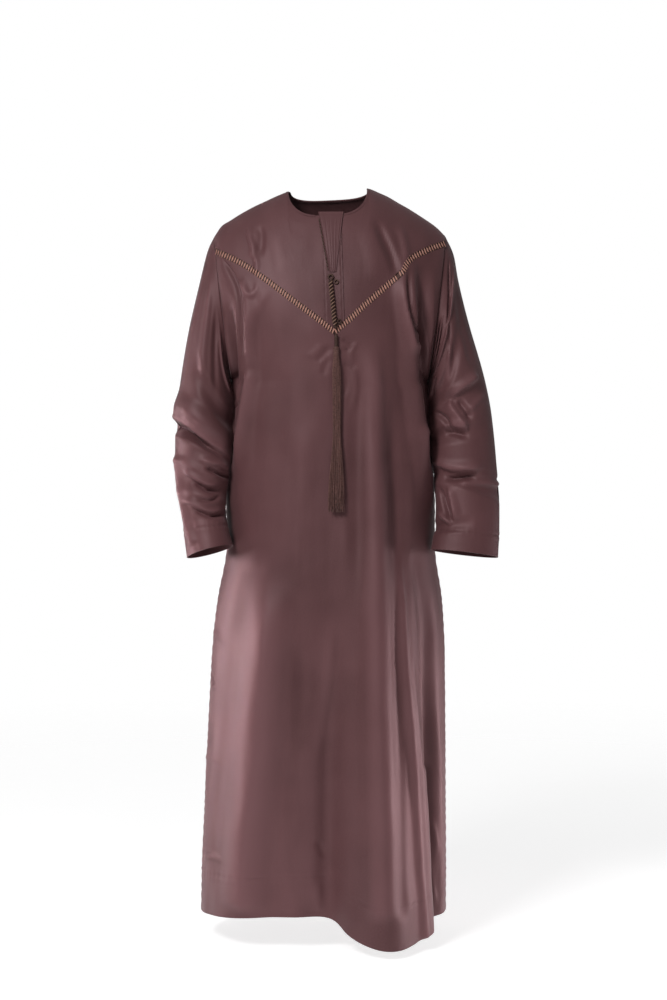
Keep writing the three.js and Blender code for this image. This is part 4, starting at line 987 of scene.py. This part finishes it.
def sewn(name, rows, material, slot_name="stitching"):
    """One piece from several rows of running stitches."""
    keep(beads(name, [np.concatenate(values) for values in zip(*rows)], material, detail=1), slot_name)


# Sizes and colours that a user would change


def colour(name, text, *channels):
    return bpy.props.FloatVectorProperty(
        name=name, description=text, subtype="COLOR", size=3, min=0, max=1, default=channels
    )


def length(name, text, millimetres):
    return bpy.props.FloatProperty(
        name=name, description=text, subtype="DISTANCE", unit="LENGTH", min=0, precision=5,
        default=millimetres * MM,
    )


def number(name, text, value, least=0):
    return bpy.props.FloatProperty(name=name, description=text, min=least, default=value)


def power(name, text, watts):
    return bpy.props.FloatProperty(name=name, description=text, unit="POWER", default=watts)


class RobeClothSizes(bpy.types.PropertyGroup):
    thickness: length("Thickness", "Thickness of the cloth", 1.5)
    trim_thickness: length("Trim thickness", "Thickness of the band, the tab and the binding", 1.2)
    weave_pitch: length("Weave pitch", "Distance between two threads of the cloth", 0.9)
    stitch_pitch: length("Stitch pitch", "Distance between two stitches of the hems", 4.6)
    body: colour("Cloth", "Main colour of the cloth", 0.118, 0.050, 0.053)
    deep: colour("Deep cloth", "Colour of the cloth where it is deepest", 0.066, 0.026, 0.027)
    # the lighter colour is a painted highlight on the raised folds, and also the cloth's random light
    # mottle
    fold_highlight_and_mottle: colour("Fold highlight and mottle", "Colour of the cloth on its raised folds", 0.152, 0.070, 0.075)
    thread: colour("Sewing thread", "Colour of the hems' stitches", 0.150, 0.078, 0.076)


class RobeTrimSizes(bpy.types.PropertyGroup):
    rung_pitch: length("Rung pitch", "Distance between two stitches of the insertion", 5.4)
    rung_width: length("Rung width", "Width of one stitch of the insertion", 3.0)
    tan: colour("Insertion thread", "Light thread of the insertion", 0.55, 0.275, 0.215)
    ground: colour("Insertion ground", "Ground behind the light thread", 0.098, 0.044, 0.036)
    cord: colour("Cord", "Dark strand of the closing cord", 0.042, 0.020, 0.015)
    cord_light: colour("Light cord", "Light strand of the closing cord", 0.34, 0.20, 0.145)
    strand: colour("Strand", "Colour of the tassel's strands", 0.190, 0.090, 0.078)
    strands: bpy.props.IntProperty(
        name="Strands", description="How many strands the tassel has", min=20, max=400, default=170
    )


class RobeStudio(bpy.types.PropertyGroup):
    room: number("Room light", "Strength of the even light", 0.22)
    floor_glow: number("Floor glow", "Light the floor adds", 0.78)
    key: power("Key light", "Power of the main light", 122.0)
    side: power("Side light", "Power of the side light", 3.1)
    far_side: power("Far side light", "Power of the light on the other side", 1.9)
    lens: number("Lens", "Focal length in millimetres", 77.1, least=1)


def material_once(name, make, *values):
    return bpy.data.materials.get(name) or make(name, *values)


def cloth_of(kind):
    shade = {"robe_cloth": 1.0, "trim_cloth": 0.9}[kind]
    return material_once(kind, cloth_material, bpy.context.scene.robe_cloth, shade)


def thread(kind):
    trim, cloth = bpy.context.scene.robe_trim, bpy.context.scene.robe_cloth
    light, dark, scale = {
        "sewing_thread": (cloth.thread, cloth.deep, 900.0),
        "insertion_thread": (trim.tan, scaled(trim.tan, 0.6), 700.0),
        "insertion_ground": (trim.ground, scaled(trim.ground, 0.5), 800.0),
        "cord_dark": (scaled(trim.cord, 1.5), trim.cord, 900.0),
        "cord_light": (trim.cord_light, scaled(trim.cord_light, 0.55), 900.0),
        "tassel_strand": (trim.strand, scaled(trim.strand, 0.42), 320.0),
    }[kind]
    return material_once(kind, thread_material, light, dark, scale)


# Pieces of cloth: each function gives points from the shares across and down a sheet


def neck_columns(h):
    """Places across half a panel: where a column starts on the top edge, and where it runs lower down."""
    near, neck_turn = 0.3, math.asin(NECK_SIDE)
    t = limited(h / near)
    top = NECK_SIDE * mix(t, np.sin(t * math.pi / 2) ** (2 / 3), t * t)
    low = np.sin(t * neck_turn)
    beyond = np.sin(mix(neck_turn, math.pi / 2, limited((h - near) / (1 - near))))
    return np.where(h < near, top, beyond), np.where(h < near, low, beyond)


def armhole_heights(z_top, t):
    """Heights down the armhole, in even turns of its ring."""
    first = math.acos(min(1, max(-1, (z_top - ARMHOLE_MIDDLE) / ARMHOLE_HALF)))
    return ARMHOLE_MIDDLE + ARMHOLE_HALF * np.cos(mix(first, math.pi, t))


def armpit_row(s):
    return ARMPIT_Z - ARMPIT_SAG * (1 - s * s)


def round_height(face, s, z_top, z_foot, t):
    """Heights down a column in even turns of the chest's rounding."""
    radius, seam = CHEST_ROUND[face], seam_height(s)
    first = np.arccos(np.clip(1 - (seam - np.minimum(seam, z_top)) / radius, -1, 1))
    last = np.arccos(np.clip(1 - (seam - z_foot) / radius, -1, 1))
    return np.where(t <= 0, z_top, seam - radius * (1 - np.cos(mix(first, last, t))))


def shaped(face, s, z):
    """The panel's points, with its sewn edges drawn just past the seam, and the rise of its creases."""
    point, base = body_point(face, s, z), body_base(face, s, z)[0]
    on_top = (seam_height(s) - z < ON_EDGE) & (np.abs(s) > NECK_SIDE - ON_EDGE)
    point[..., 1] -= np.where((np.abs(s) > 1 - ON_EDGE) | on_top, face * SEAM_LAP, 0)
    moved = point - base
    sign = np.sign(np.sum(moved * base * [1, 1, 0], -1))
    return point, np.linalg.norm(moved, axis=-1) * sign / FULL_RISE


def front_place(a, d):
    upper = 0.26
    s = np.sin(mix(-math.pi / 2, math.pi / 2, a))
    ends = [float(v_height(end)) - STRIP_CLEAR for end in (-1.0, 1.0)]
    side_top = np.where(s < 0, *ends)
    t = limited(d / upper)
    ring = np.where(s < 0, *(armhole_heights(end, t) for end in ends))
    share = limited((side_top - ring) / (side_top - ARMPIT_Z))
    z_upper = mix(v_height(s) - STRIP_CLEAR, armpit_row(s), mix(t, share, s**6))
    z_lower = mix(armpit_row(s), hem_height(-1, s), limited((d - upper) / (1 - upper)))
    return shaped(-1, s, np.where(d < upper, z_upper, z_lower))


def back_place(a, d):
    upper, turning = 0.44, 0.5
    side = np.sign(a - 0.5)
    top_s, low_s = neck_columns(np.abs(2 * a - 1))
    top = top_height(1, top_s * side)
    t = limited(d / upper)
    foot = top - 0.8 * CHEST_ROUND[1]
    rounded = round_height(1, low_s * side, top, foot, limited(t / turning))
    z_even = np.where(t < turning, rounded, mix(foot, armpit_row(low_s), (t - turning) / (1 - turning)))
    ring = (armhole_heights(-SHOULDER_DROP, t) - ARMPIT_Z) / (-SHOULDER_DROP - ARMPIT_Z)
    z_upper = mix(z_even, mix(ARMPIT_Z, top, ring), low_s**6)
    z_lower = mix(armpit_row(low_s), BACK_HEM_Z, limited((d - upper) / (1 - upper)))
    z = np.where(d < upper, z_upper, z_lower)
    return shaped(1, side * mix(top_s, low_s, smooth((top - z) / COLUMN_SPREAD)), z)


def yoke_place(side):
    def place(a, d):
        top_s, low_s = (np.maximum(place, MIDDLE_GAP) for place in neck_columns(a))
        top = top_height(-1, side * top_s)
        z = round_height(-1, side * low_s, top, v_height(side * low_s) + STRIP_CLEAR, d)
        return shaped(-1, side * mix(top_s, low_s, smooth((top - z) / COLUMN_SPREAD)), z)

    return place


def sleeve_place(side):
    def place(a, d):
        ring = LAST_RING * d
        point = sleeve_point(side, ring, a * 2 * math.pi)
        point[..., 0] += np.where(ring < ON_EDGE, side * SEAM_GAP, 0)
        turned = np.where(a > 0.5, a - 1, a) * 360 * TURN_STEP
        return point, crease_height(SLEEVE_PATHS[side], turned, -RING_STEP * ring) / FULL_RISE

    return place


def insertion_place(side):
    def place(a, d):
        s = side * mix(MIDDLE_GAP, 0.9995, np.sin(a * math.pi / 2))
        z = v_height(s) + (0.5 - d) * (INSERTION_WIDTH - 0.6)
        return on_body_at(-1, s, z, -0.2)[0], np.zeros_like(s)

    return place


def middle_x(z):
    """Where the middle line of the placket runs."""
    return mix(PLACKET.x_top, PLACKET.x_foot, limited((NECK_FRONT_Z - z) / (NECK_FRONT_Z - PLACKET.z_foot)))


def band_place(thickness):
    def place(a, d):
        across = 2 * a - 1
        s = place_at(-1, PLACKET.x_foot + across * PLACKET.half, PLACKET.z_foot)
        z = mix(NECK_FRONT_Z - 3, v_height(s) + INSERTION_WIDTH / 2 + PLACKET.clear, d)
        edge = PLACKET.half * (1 - np.abs(across))
        relief = 0.2 * bell(edge, 6, 3) - 0.3 * bell(edge, 3.2, 1.1)
        relief = relief + 0.16 * uneven_wave(z, 0.31, 1.4, 0.07) * bell(edge, 3, 3)
        x = middle_x(z) + across * PLACKET.half
        return on_body(-1, x, z, LAY_GAP + thickness + relief)[0], relief / 4

    return place


def tab_place(lift):
    def place(a, d):
        across = 2 * a - 1
        z = mix(NECK_FRONT_Z + TAB.stand, TAB.z_foot, d)
        half = mix(TAB.half_top, TAB.half_foot, d**0.92)
        bow = 0.5 * np.sin(np.pi * limited((d - 0.1) / 0.9)) * (1 - np.abs(across))
        gathers = 0.24 * np.sin(across * 17 + 0.6 * np.sin(d * 5)) + 0.16 * np.sin(across * 31 + 1 + d)
        gathers = gathers * smooth(d / 0.22) * (0.35 + 0.65 * d)
        hem = -0.4 * bell(half * (1 - np.abs(across)), 2.2, 0.8)
        top = -0.4 * bell(d * TAB.length, 4, 1.2)
        x = middle_x(z) + across * half
        return on_body(-1, x, z, lift + bow + gathers + hem + top)[0], (gathers + hem) / 2

    return place


def neck_ring(away, count=60):
    """Places round the neck from one side of the tab round the back to the other, away from its edge."""
    grow = 1 + away / NECK_HALF

    def half(side, share, face):
        s = side * NECK_SIDE * share ** (2 / 3)
        curve = np.sqrt(1 - np.minimum(1, np.abs(s) / NECK_SIDE) ** 3)
        z = seam_height(s * grow) - (NECK_DROP[face] + away) * curve
        return body_base(face, s * grow, z - 0.02)[0]

    front = np.sin(np.linspace(0.19, math.pi / 2, count))
    back = np.sin(np.linspace(math.pi / 2, 0, count))
    left, right = (np.vstack([half(side, front, -1), half(side, back, 1)[1:]]) for side in (1, -1))
    return np.vstack([left, right[::-1][1:]])


def binding_place():
    """A narrow tape folded over the neck's edge: outside, over the edge, and back down the inside."""
    edge, low = neck_ring(0.0), neck_ring(4.6)
    lengths = np.concatenate([[0], np.cumsum(np.linalg.norm(np.diff(edge, axis=0), axis=1))])
    even = np.linspace(0, lengths[-1], 240)
    edge, low = along_line(even, lengths, edge), along_line(even, lengths, low)
    for _ in range(6):
        for line in (edge, low):
            line[1:-1] = (line[:-2] + 2 * line[1:-1] + line[2:]) / 4
    ahead = unit(np.gradient(edge, axis=0))
    lay = unit((low - edge) - np.sum((low - edge) * ahead, -1, keepdims=True) * ahead)
    face = unit(np.cross(ahead, lay))
    outside = face[:, 2:3] + 0.4 * np.sum(face * unit(edge * [1, 1, 0]), -1, keepdims=True)
    face *= np.where(outside < 0, -1, 1)

    def place(a, d):
        at = a * (len(edge) - 1)
        k = np.clip(at.astype(int), 0, len(edge) - 2)
        rim, down, out = (mix(line[k], line[k + 1], (at - k)[:, None]) for line in (edge, lay, face))
        turn = (0.5 - d) * 2
        fold = limited(np.abs(turn) / BINDING.fold)
        flat = np.maximum((np.abs(turn) - BINDING.fold) / (1 - BINDING.fold), 0)
        reach = flat * BINDING.reach - BINDING.over * np.cos(fold * math.pi / 2)
        lift = np.where(turn > 0, BINDING.outside, -BINDING.inside) * np.sin(fold * math.pi / 2)
        return rim + down * reach[:, None] + out * lift[:, None], np.abs(turn) * 0.1

    return place, lengths[-1]


class ROBE_OT_body(bpy.types.Operator):
    """Builds the front and back panels and the two halves of the yoke"""

    bl_idname = "robe.body"
    bl_label = "Body panels"

    def execute(self, context):
        thick = context.scene.robe_cloth.thickness
        cloth = cloth_of("robe_cloth")
        front = cloth_sheet("front_cloth", 140, 300, front_place, away_from(), thick, (0.62, 1.34), cloth)
        keep(front, "cloth", "front_panel")
        back = cloth_sheet("back_cloth", 120, 240, back_place, away_from(), thick, (0.60, 1.45), cloth)
        keep(back, "cloth", "back_panel")
        for side, word in SIDES:
            yoke = cloth_sheet("yoke_cloth_" + word, 92, 72, yoke_place(side), always(0, -1, 1),
                               thick, (0.28, 0.27), cloth)
            keep(yoke, "cloth", "yoke_" + word)
        return {"FINISHED"}


class ROBE_OT_sleeves(bpy.types.Operator):
    """Builds the two wide sleeves"""

    bl_idname = "robe.sleeves"
    bl_label = "Sleeves"

    def execute(self, context):
        thick = context.scene.robe_cloth.thickness
        for side, word in SIDES:
            sleeve = cloth_sheet("sleeve_cloth_" + word, 128, 200, sleeve_place(side),
                                 away_from(side * 0.245, -0.03), thick, (0.5, 0.62),
                                 cloth_of("robe_cloth"), closed=True)
            keep(sleeve, "cloth", "sleeve_" + word)
        return {"FINISHED"}


class ROBE_OT_insertions(bpy.types.Operator):
    """Builds the V of slanted stitches between two fine edge cords"""

    bl_idname = "robe.insertions"
    bl_label = "Insertions"

    def execute(self, context):
        trim = context.scene.robe_trim
        pitch, half_width = trim.rung_pitch / MM, trim.rung_width / MM / 2
        edge_line, lean = INSERTION_WIDTH / 2 + 1.5, 0.75
        for side, word in SIDES:
            name = "insertion_" + word
            ground = cloth_sheet(name + "_ground", 120, 6, insertion_place(side), always(0, -1, 0),
                                 0.9 * MM, (0.3, 0.009), thread("insertion_ground"))
            keep(ground, "stitching", name)
            s = side * np.sin(np.linspace(MIDDLE_GAP, 1.52, 240))
            # the insertion's dark edge cords; the upper one is drawn thicker than the lower as painted
            # shade along the upper edge
            edges = [on_body_at(-1, s, v_height(s) + off, 0.35)[0] for off in (edge_line, -edge_line)]
            keep(cords(name + "_edges", edges, [0.8, 0.55], thread("cord_dark"), sides=1), "stitching")
            line = on_body_at(-1, s, v_height(s))
            centre, along, facing, _ = running(*line, pitch, lift=0.5, share_y=0.3)
            aside = unit(np.cross(along, facing))
            aside *= np.sign(aside[:, 2:3])
            upright = [0, 0, 1] - facing[:, 2:3] * facing
            uneven = 1 + 0.1 * np.sin(np.arange(len(centre)) * 2.1)
            sizes = np.stack([6.6 * uneven, half_width * uneven[::-1], np.full(len(centre), 0.85)], -1)
            seen = (centre[:, 0] < V_BREAK[0]) | (centre[:, 0] > V_BREAK[1])
            rungs = [values[seen] for values in (centre, unit(aside + lean * upright), facing, sizes)]
            keep(beads(name + "_stitches", rungs, thread("insertion_thread")), "stitching")
        return {"FINISHED"}


class ROBE_OT_placket(bpy.types.Operator):
    """Builds the placket band, the gathered tab and the neck binding"""

    bl_idname = "robe.placket"
    bl_label = "Placket and neck"

    def execute(self, context):
        trim_thickness = context.scene.robe_cloth.trim_thickness
        cloth, dark = cloth_of("trim_cloth"), thread("cord_dark")
        thick = trim_thickness / MM
        on_band = 2 * (LAY_GAP + thick)
        band = cloth_sheet("placket_band_cloth", 36, 110, band_place(thick), always(0, -1, 0),
                           trim_thickness, (0.038, 0.215), cloth)
        keep(band, "cloth", "placket_band")
        tab = cloth_sheet("placket_tab_cloth", 64, 90, tab_place(on_band), always(0, -1, 0),
                          trim_thickness, (0.06, 0.12), cloth)
        keep(tab, "cloth", "placket_tab")
        place, total = binding_place()
        binding = cloth_sheet("neck_binding_cloth", 220, 16, place, always(0, 0, 1),
                              0.6 * trim_thickness, (total * MM, 0.012), cloth)
        keep(binding, "cloth", "neck_binding")

        z = np.linspace(-64, -166, 90)
        row, out = on_body(-1, middle_x(z) - np.linspace(22.5, 8, 90), z, LAY_GAP + thick + 0.4)
        # dark beads along the tab's left edge: partly its scalloped edge, partly painted shadow of the
        # tab's left flap on the band, which is why they are drawn wide
        scallops_and_shadow = running(row, out, 7.4, share=0.98, width=1.9, lift=0.3)
        keep(beads("tab_scallops", scallops_and_shadow, dark), "cording")
        specks = running(row + [1.3, 0, 0], out, 10.4, share=0.2, width=0.5, lift=0.9)
        keep(beads("tab_specks", specks, thread("cord_light"), detail=1), "stitching")
        z = np.linspace(-92, -118, 20)
        row, out = on_body(-1, middle_x(z) + np.linspace(20.5, 16, 20), z, on_band)
        catches = running(row, out, 6.5, share=0.5, width=0.6, lift=0.3)
        keep(beads("tab_catch_stitches", catches, dark, detail=1), "cording")
        return {"FINISHED"}


def even_turn(count):
    return np.linspace(0, 2 * math.pi, count, endpoint=False)


def wound(line, radius, turns, start):
    """A strand wound round a line."""
    ahead = unit(np.gradient(line, axis=0))
    aside = unit(np.cross(ahead, [0.0, 1.0, 0.0]))
    forward = unit(np.cross(ahead, aside))
    angle = (np.linspace(0, turns * 2 * math.pi, len(line)) + start)[:, None]
    return line + radius * (aside * np.cos(angle) + forward * np.sin(angle))


class ROBE_OT_closing(bpy.types.Operator):
    """Builds the three corded rings, the twisted cord and its knots"""

    bl_idname = "robe.closing"
    bl_label = "Closing cord"

    def execute(self, context):
        lift = 2 * LAY_GAP + context.scene.robe_cloth.trim_thickness / MM
        dark, light = thread("cord_dark"), thread("cord_light")
        for node, ring in zip(RING_NODES, rows_of(RINGS)):
            centre, out = on_body(-1, [ring.x], [ring.z], lift + ring.cord)
            aside = unit(np.cross(out, [0, 0, 1.0]))
            up = np.cross(aside, out)

            def rays(turn):
                return np.cos(turn)[:, None] * aside + np.sin(turn)[:, None] * up

            turn = even_turn(96)
            strands = [
                centre + rays(turn) * (ring.radius + 0.5 * ring.cord * np.cos(spin))[:, None]
                + out * (0.5 * ring.cord * np.sin(spin))[:, None]
                for spin in (turn * 7, turn * 7 + math.pi)
            ]
            cord = cords(node + "_cord", strands, 0.56 * ring.cord, dark, closed=True)
            keep(cord, "cording", node)
            if node != "ring_lower":
                rim = centre + out * ring.cord * 0.72 + rays(even_turn(48)) * ring.radius
                keep(cords(node + "_light", [rim], 0.42, light, sides=1, closed=True), "cording")

        radius, halves = TWIST.radius, (0, math.pi)
        x = np.linspace(TWIST.x_top, TWIST.x_foot, 260)
        line = on_body(-1, x, np.linspace(TWIST.z_top, TWIST.z_foot, 260), lift + radius)[0]
        strands = [wound(line, radius * 0.5, TWIST.turns, start) for start in halves]
        keep(cords("closing_cord_strands", strands, radius * 0.5, dark, sides=3), "cording", "closing_cord")
        strands = [wound(line, radius * 0.86, TWIST.turns, start + 0.25) for start in halves]
        keep(cords("closing_cord_light", strands, 0.9, light), "cording")

        knots, out = on_body(-1, KNOTS["x"], KNOTS["z"], lift + KNOTS["lift"])
        along = np.tile([0.8, 0.0, -0.6], (len(knots), 1))
        sizes = np.stack([KNOTS[name] for name in ("along", "aside", "out")], -1)
        keep(beads("closing_knots", (knots, along, out, sizes), dark, detail=3), "cording")
        return {"FINISHED"}


def cloth_under_tassel(z):
    """How far forward the cloth comes behind the tassel."""
    return np.min([on_body(-1, TASSEL.x + off, z)[0][:, 1] for off in (-14, 0, 14)], 0)


class ROBE_OT_tassel(bpy.types.Operator):
    """Builds the tassel: its corded neck, its bound head and its strands"""

    bl_idname = "robe.tassel"
    bl_label = "Tassel"

    def execute(self, context):
        strand_count = context.scene.robe_trim.strands
        dark, soft = thread("cord_dark"), thread("tassel_strand")
        t = TASSEL
        z = np.linspace(t.z_neck, t.z_neck - t.neck_length - 1.5, 80)
        y = cloth_under_tassel(z) - LAY_GAP - t.neck_radius - 0.8
        line = np.stack([np.full_like(z, t.x), y, z], -1)
        strands = [wound(line, 1.7, 3.5, start) for start in even_turn(3)]
        keep(cords("tassel_neck_strands", strands, 1.75, dark), "cording", "tassel_neck")

        top = t.z_neck - t.neck_length - SEAM_GAP
        foot = top - t.head_length
        head_y = float(cloth_under_tassel(np.array([top]))[0]) - LAY_GAP - t.head_radius
        bm = bmesh.new()
        bmesh.ops.create_uvsphere(bm, u_segments=28, v_segments=18, radius=1.0)
        for v in bm.verts:
            wider = 1 + 0.12 * v.co.z**2
            v.co.x, v.co.y = v.co.x * wider, v.co.y * wider
        size = Vector((t.head_radius * 1.3, t.head_radius * 0.95, t.head_length * 0.52)) * MM
        bmesh.ops.scale(bm, verts=bm.verts, vec=size)
        bmesh.ops.translate(bm, verts=bm.verts, vec=Vector((t.x, head_y, (top + foot) / 2)) * MM)
        keep(finished(bm, "tassel_head", dark), "cording")
        wraps = []
        turn = even_turn(40)
        for share in (np.arange(7) + 0.5) / 7:
            wide = t.head_radius * math.sqrt(max(0.1, 1 - ((share - 0.5) * 1.75) ** 2))
            x, y = t.x + 1.32 * wide * np.cos(turn), head_y + 0.98 * wide * np.sin(turn)
            wraps.append(np.stack([x, y, mix(top - 1, foot + 1, share) + 0.5 * np.sin(turn)], -1))
        keep(cords("tassel_head_wraps", wraps, 0.8, soft, sides=1, closed=True), "cording")

        levels = np.linspace(foot + 4, t.z_end, 34)
        share = limited((foot - levels) / (foot - t.z_end))
        middle_y = np.minimum(head_y, cloth_under_tassel(levels) - t.deep_foot - t.clear) - 4 * share
        flare = smooth((share - 0.5) / 0.5)
        half = mix(t.half_top, t.half_foot, flare) * mix(0.6, 1, smooth(share / 0.12))
        deep = mix(t.deep_top, t.deep_foot, flare)
        down = (levels - levels[0]) / (levels[-1] - levels[0])
        random = np.random.default_rng(7)
        paths = []
        for k in range(strand_count):
            r, angle = math.sqrt((k + 0.5) / strand_count), k * GOLDEN_TURN
            foot_r = min(1.0, r * random.uniform(0.82, 1.12))
            foot_angle = angle + random.uniform(-0.5, 0.5)
            r_now, angle_now = mix(r, foot_r, share), mix(angle, foot_angle, share)
            swing = 1.1 * np.sin(share * random.uniform(5, 13) + random.uniform(0, 6)) * share
            x = t.x + half * r_now * np.cos(angle_now) + swing + 1.2 * np.sin(share * 3.4)
            y = middle_y + deep * r_now * np.sin(angle_now) + 0.3 * np.cos(share * random.uniform(6, 14))
            end = random.uniform(0, 14) if k % 4 else random.uniform(10, 30)
            paths.append(np.stack([x, y, mix(levels[0], t.z_end + end, down)], -1))
        keep(cords("tassel_strands", paths, 0.55, soft, sides=0), "cording", "tassel")
        return {"FINISHED"}


class ROBE_OT_stitching(bpy.types.Operator):
    """Sews the rows of stitches along the hems, the cuffs and the placket"""

    bl_idname = "robe.stitching"
    bl_label = "Stitching"

    def execute(self, context):
        sizes = context.scene.robe_cloth
        pitch, thick = sizes.stitch_pitch / MM, sizes.trim_thickness / MM
        yarn = thread("sewing_thread")
        s = np.sin(np.linspace(-1.54, 1.54, 300))
        rows = [on_body_at(face, s, hem_height(face, s) + HEM_STITCH) for face in (-1, 1)]
        sewn("hem_stitches", [running(*row, pitch) for row in rows], yarn)
        angle = np.linspace(0, 2 * math.pi, 200)
        rows = [on_sleeve(side, LAST_RING - CUFF_STITCH / CUFF_RING_STEP, angle) for side in (-1, 1)]
        sewn("cuff_stitches", [running(*row, pitch) for row in rows], yarn)
        z = np.linspace(NECK_FRONT_Z - 8, -262, 120)
        edges = [middle_x(z) + across * (PLACKET.half - 3.2) for across in (-1, 1)]
        rows = [on_body(-1, x, z, LAY_GAP + thick - 0.4) for x in edges]
        sewn("placket_stitches", [running(*row, 3.6, width=0.36) for row in rows], yarn)
        return {"FINISHED"}


class ROBE_OT_stage(bpy.types.Operator):
    """Sets up the floor, the lights and the camera"""

    bl_idname = "robe.stage"
    bl_label = "Stage"

    def execute(self, context):
        scene = context.scene
        studio = scene.robe_studio
        white, pink = (1, 1, 1), (1, 0.77, 0.8)

        bm = bmesh.new()
        bmesh.ops.create_circle(bm, cap_ends=True, radius=9.0, segments=96)
        bmesh.ops.translate(bm, verts=bm.verts, vec=(0, 0, FLOOR_Z))
        g = Graph(bpy.data.materials.new("studio_floor"))
        place = g.place()
        far = g.node("ShaderNodeVectorMath", {"operation": "LENGTH"}, {0: place}, out="Value")
        pale = g.principled({
            "Base Color": g.colour_mix(g.noise(place, 3.0, 2.0), (0.45, 0.45, 0.455), (0.49, 0.49, 0.495)),
            "Roughness": 0.7,
            "Emission Color": white,
            "Emission Strength": studio.floor_glow,
        })
        clear = g.node("ShaderNodeBsdfTransparent")
        fade = ((far - 1.7) / 2.2).clamped()
        surface = g.node("ShaderNodeMixShader", {}, {0: fade, 1: pale, 2: clear})
        finished(bm, "studio_floor", g.finish(surface), False)

        g = Graph(bpy.data.worlds.new("studio_room"))
        room = g.node("ShaderNodeBackground", {}, {"Color": white, "Strength": studio.room})
        backdrop = g.node("ShaderNodeBackground", {}, {"Color": white})
        seen = g.node("ShaderNodeLightPath", out="Is Camera Ray")
        either = g.node("ShaderNodeMixShader", {}, {0: seen, 1: room, 2: backdrop})
        scene.world = g.finish(either, "ShaderNodeOutputWorld")
        scene.view_settings.view_transform = "Standard"

        for name, place, aim, spread, size, watts, tint in (
            ("key_light", (-1.6, -3.0, 1.8), (0, 0, -0.6), 180, 1.1, studio.key, white),
            ("side_light", (-3.4, 1.0, -0.8), (0, 0, -0.8), 24, 1.0, studio.side, pink),
            ("far_side_light", (3.2, 0.7, -1.25), (0, 0, -1.25), 20, 0.8, studio.far_side, pink),
        ):
            lamp = bpy.data.lights.new(name, "AREA")
            lamp.spread = math.radians(spread)
            lamp.shape = "DISK"
            lamp.size = size
            lamp.energy = watts
            lamp.color = tint
            stand = linked(name, lamp)
            stand.location = place
            stand.rotation_euler = (Vector(aim) - Vector(place)).to_track_quat("-Z", "Y").to_euler()

        camera = bpy.data.cameras.new("photo_camera")
        camera.lens = studio.lens
        camera.sensor_width = 36
        camera.clip_end = 100
        scene.camera = linked("photo_camera", camera)
        scene.camera.location = CAMERA_PLACE
        scene.camera.rotation_euler = (math.radians(90 - CAMERA_TILT), 0, 0)
        return {"FINISHED"}


BUILDERS = (
    ROBE_OT_body,
    ROBE_OT_sleeves,
    ROBE_OT_insertions,
    ROBE_OT_placket,
    ROBE_OT_closing,
    ROBE_OT_tassel,
    ROBE_OT_stitching,
    ROBE_OT_stage,
)


class VIEW3D_PT_robe(bpy.types.Panel):
    """Lists the robe's sizes, colours and builders"""

    bl_label = "Robe"
    bl_idname = "VIEW3D_PT_robe"
    bl_space_type = "VIEW_3D"
    bl_region_type = "UI"
    bl_category = "Robe"

    def draw(self, context):
        scene = context.scene
        for group in (scene.robe_cloth, scene.robe_trim, scene.robe_studio):
            box = self.layout.box()
            for name in group.__annotations__:
                box.prop(group, name)
        for builder in BUILDERS:
            self.layout.operator(builder.bl_idname)


GROUPS = {"robe_cloth": RobeClothSizes, "robe_trim": RobeTrimSizes, "robe_studio": RobeStudio}


def register():
    for kind in (*GROUPS.values(), *BUILDERS, VIEW3D_PT_robe):
        bpy.utils.register_class(kind)
    for name, kind in GROUPS.items():
        setattr(bpy.types.Scene, name, bpy.props.PointerProperty(type=kind))


def unregister():
    for name in GROUPS:
        delattr(bpy.types.Scene, name)
    for kind in reversed((*GROUPS.values(), *BUILDERS, VIEW3D_PT_robe)):
        bpy.utils.unregister_class(kind)


def main():
    """Builds the whole robe and its stage."""
    register()
    bpy.ops.robe.body()
    bpy.ops.robe.sleeves()
    bpy.ops.robe.insertions()
    bpy.ops.robe.placket()
    bpy.ops.robe.closing()
    bpy.ops.robe.tassel()
    bpy.ops.robe.stitching()
    bpy.ops.robe.stage()
    bpy.context.view_layer.update()


if __name__ == "__main__":
    main()
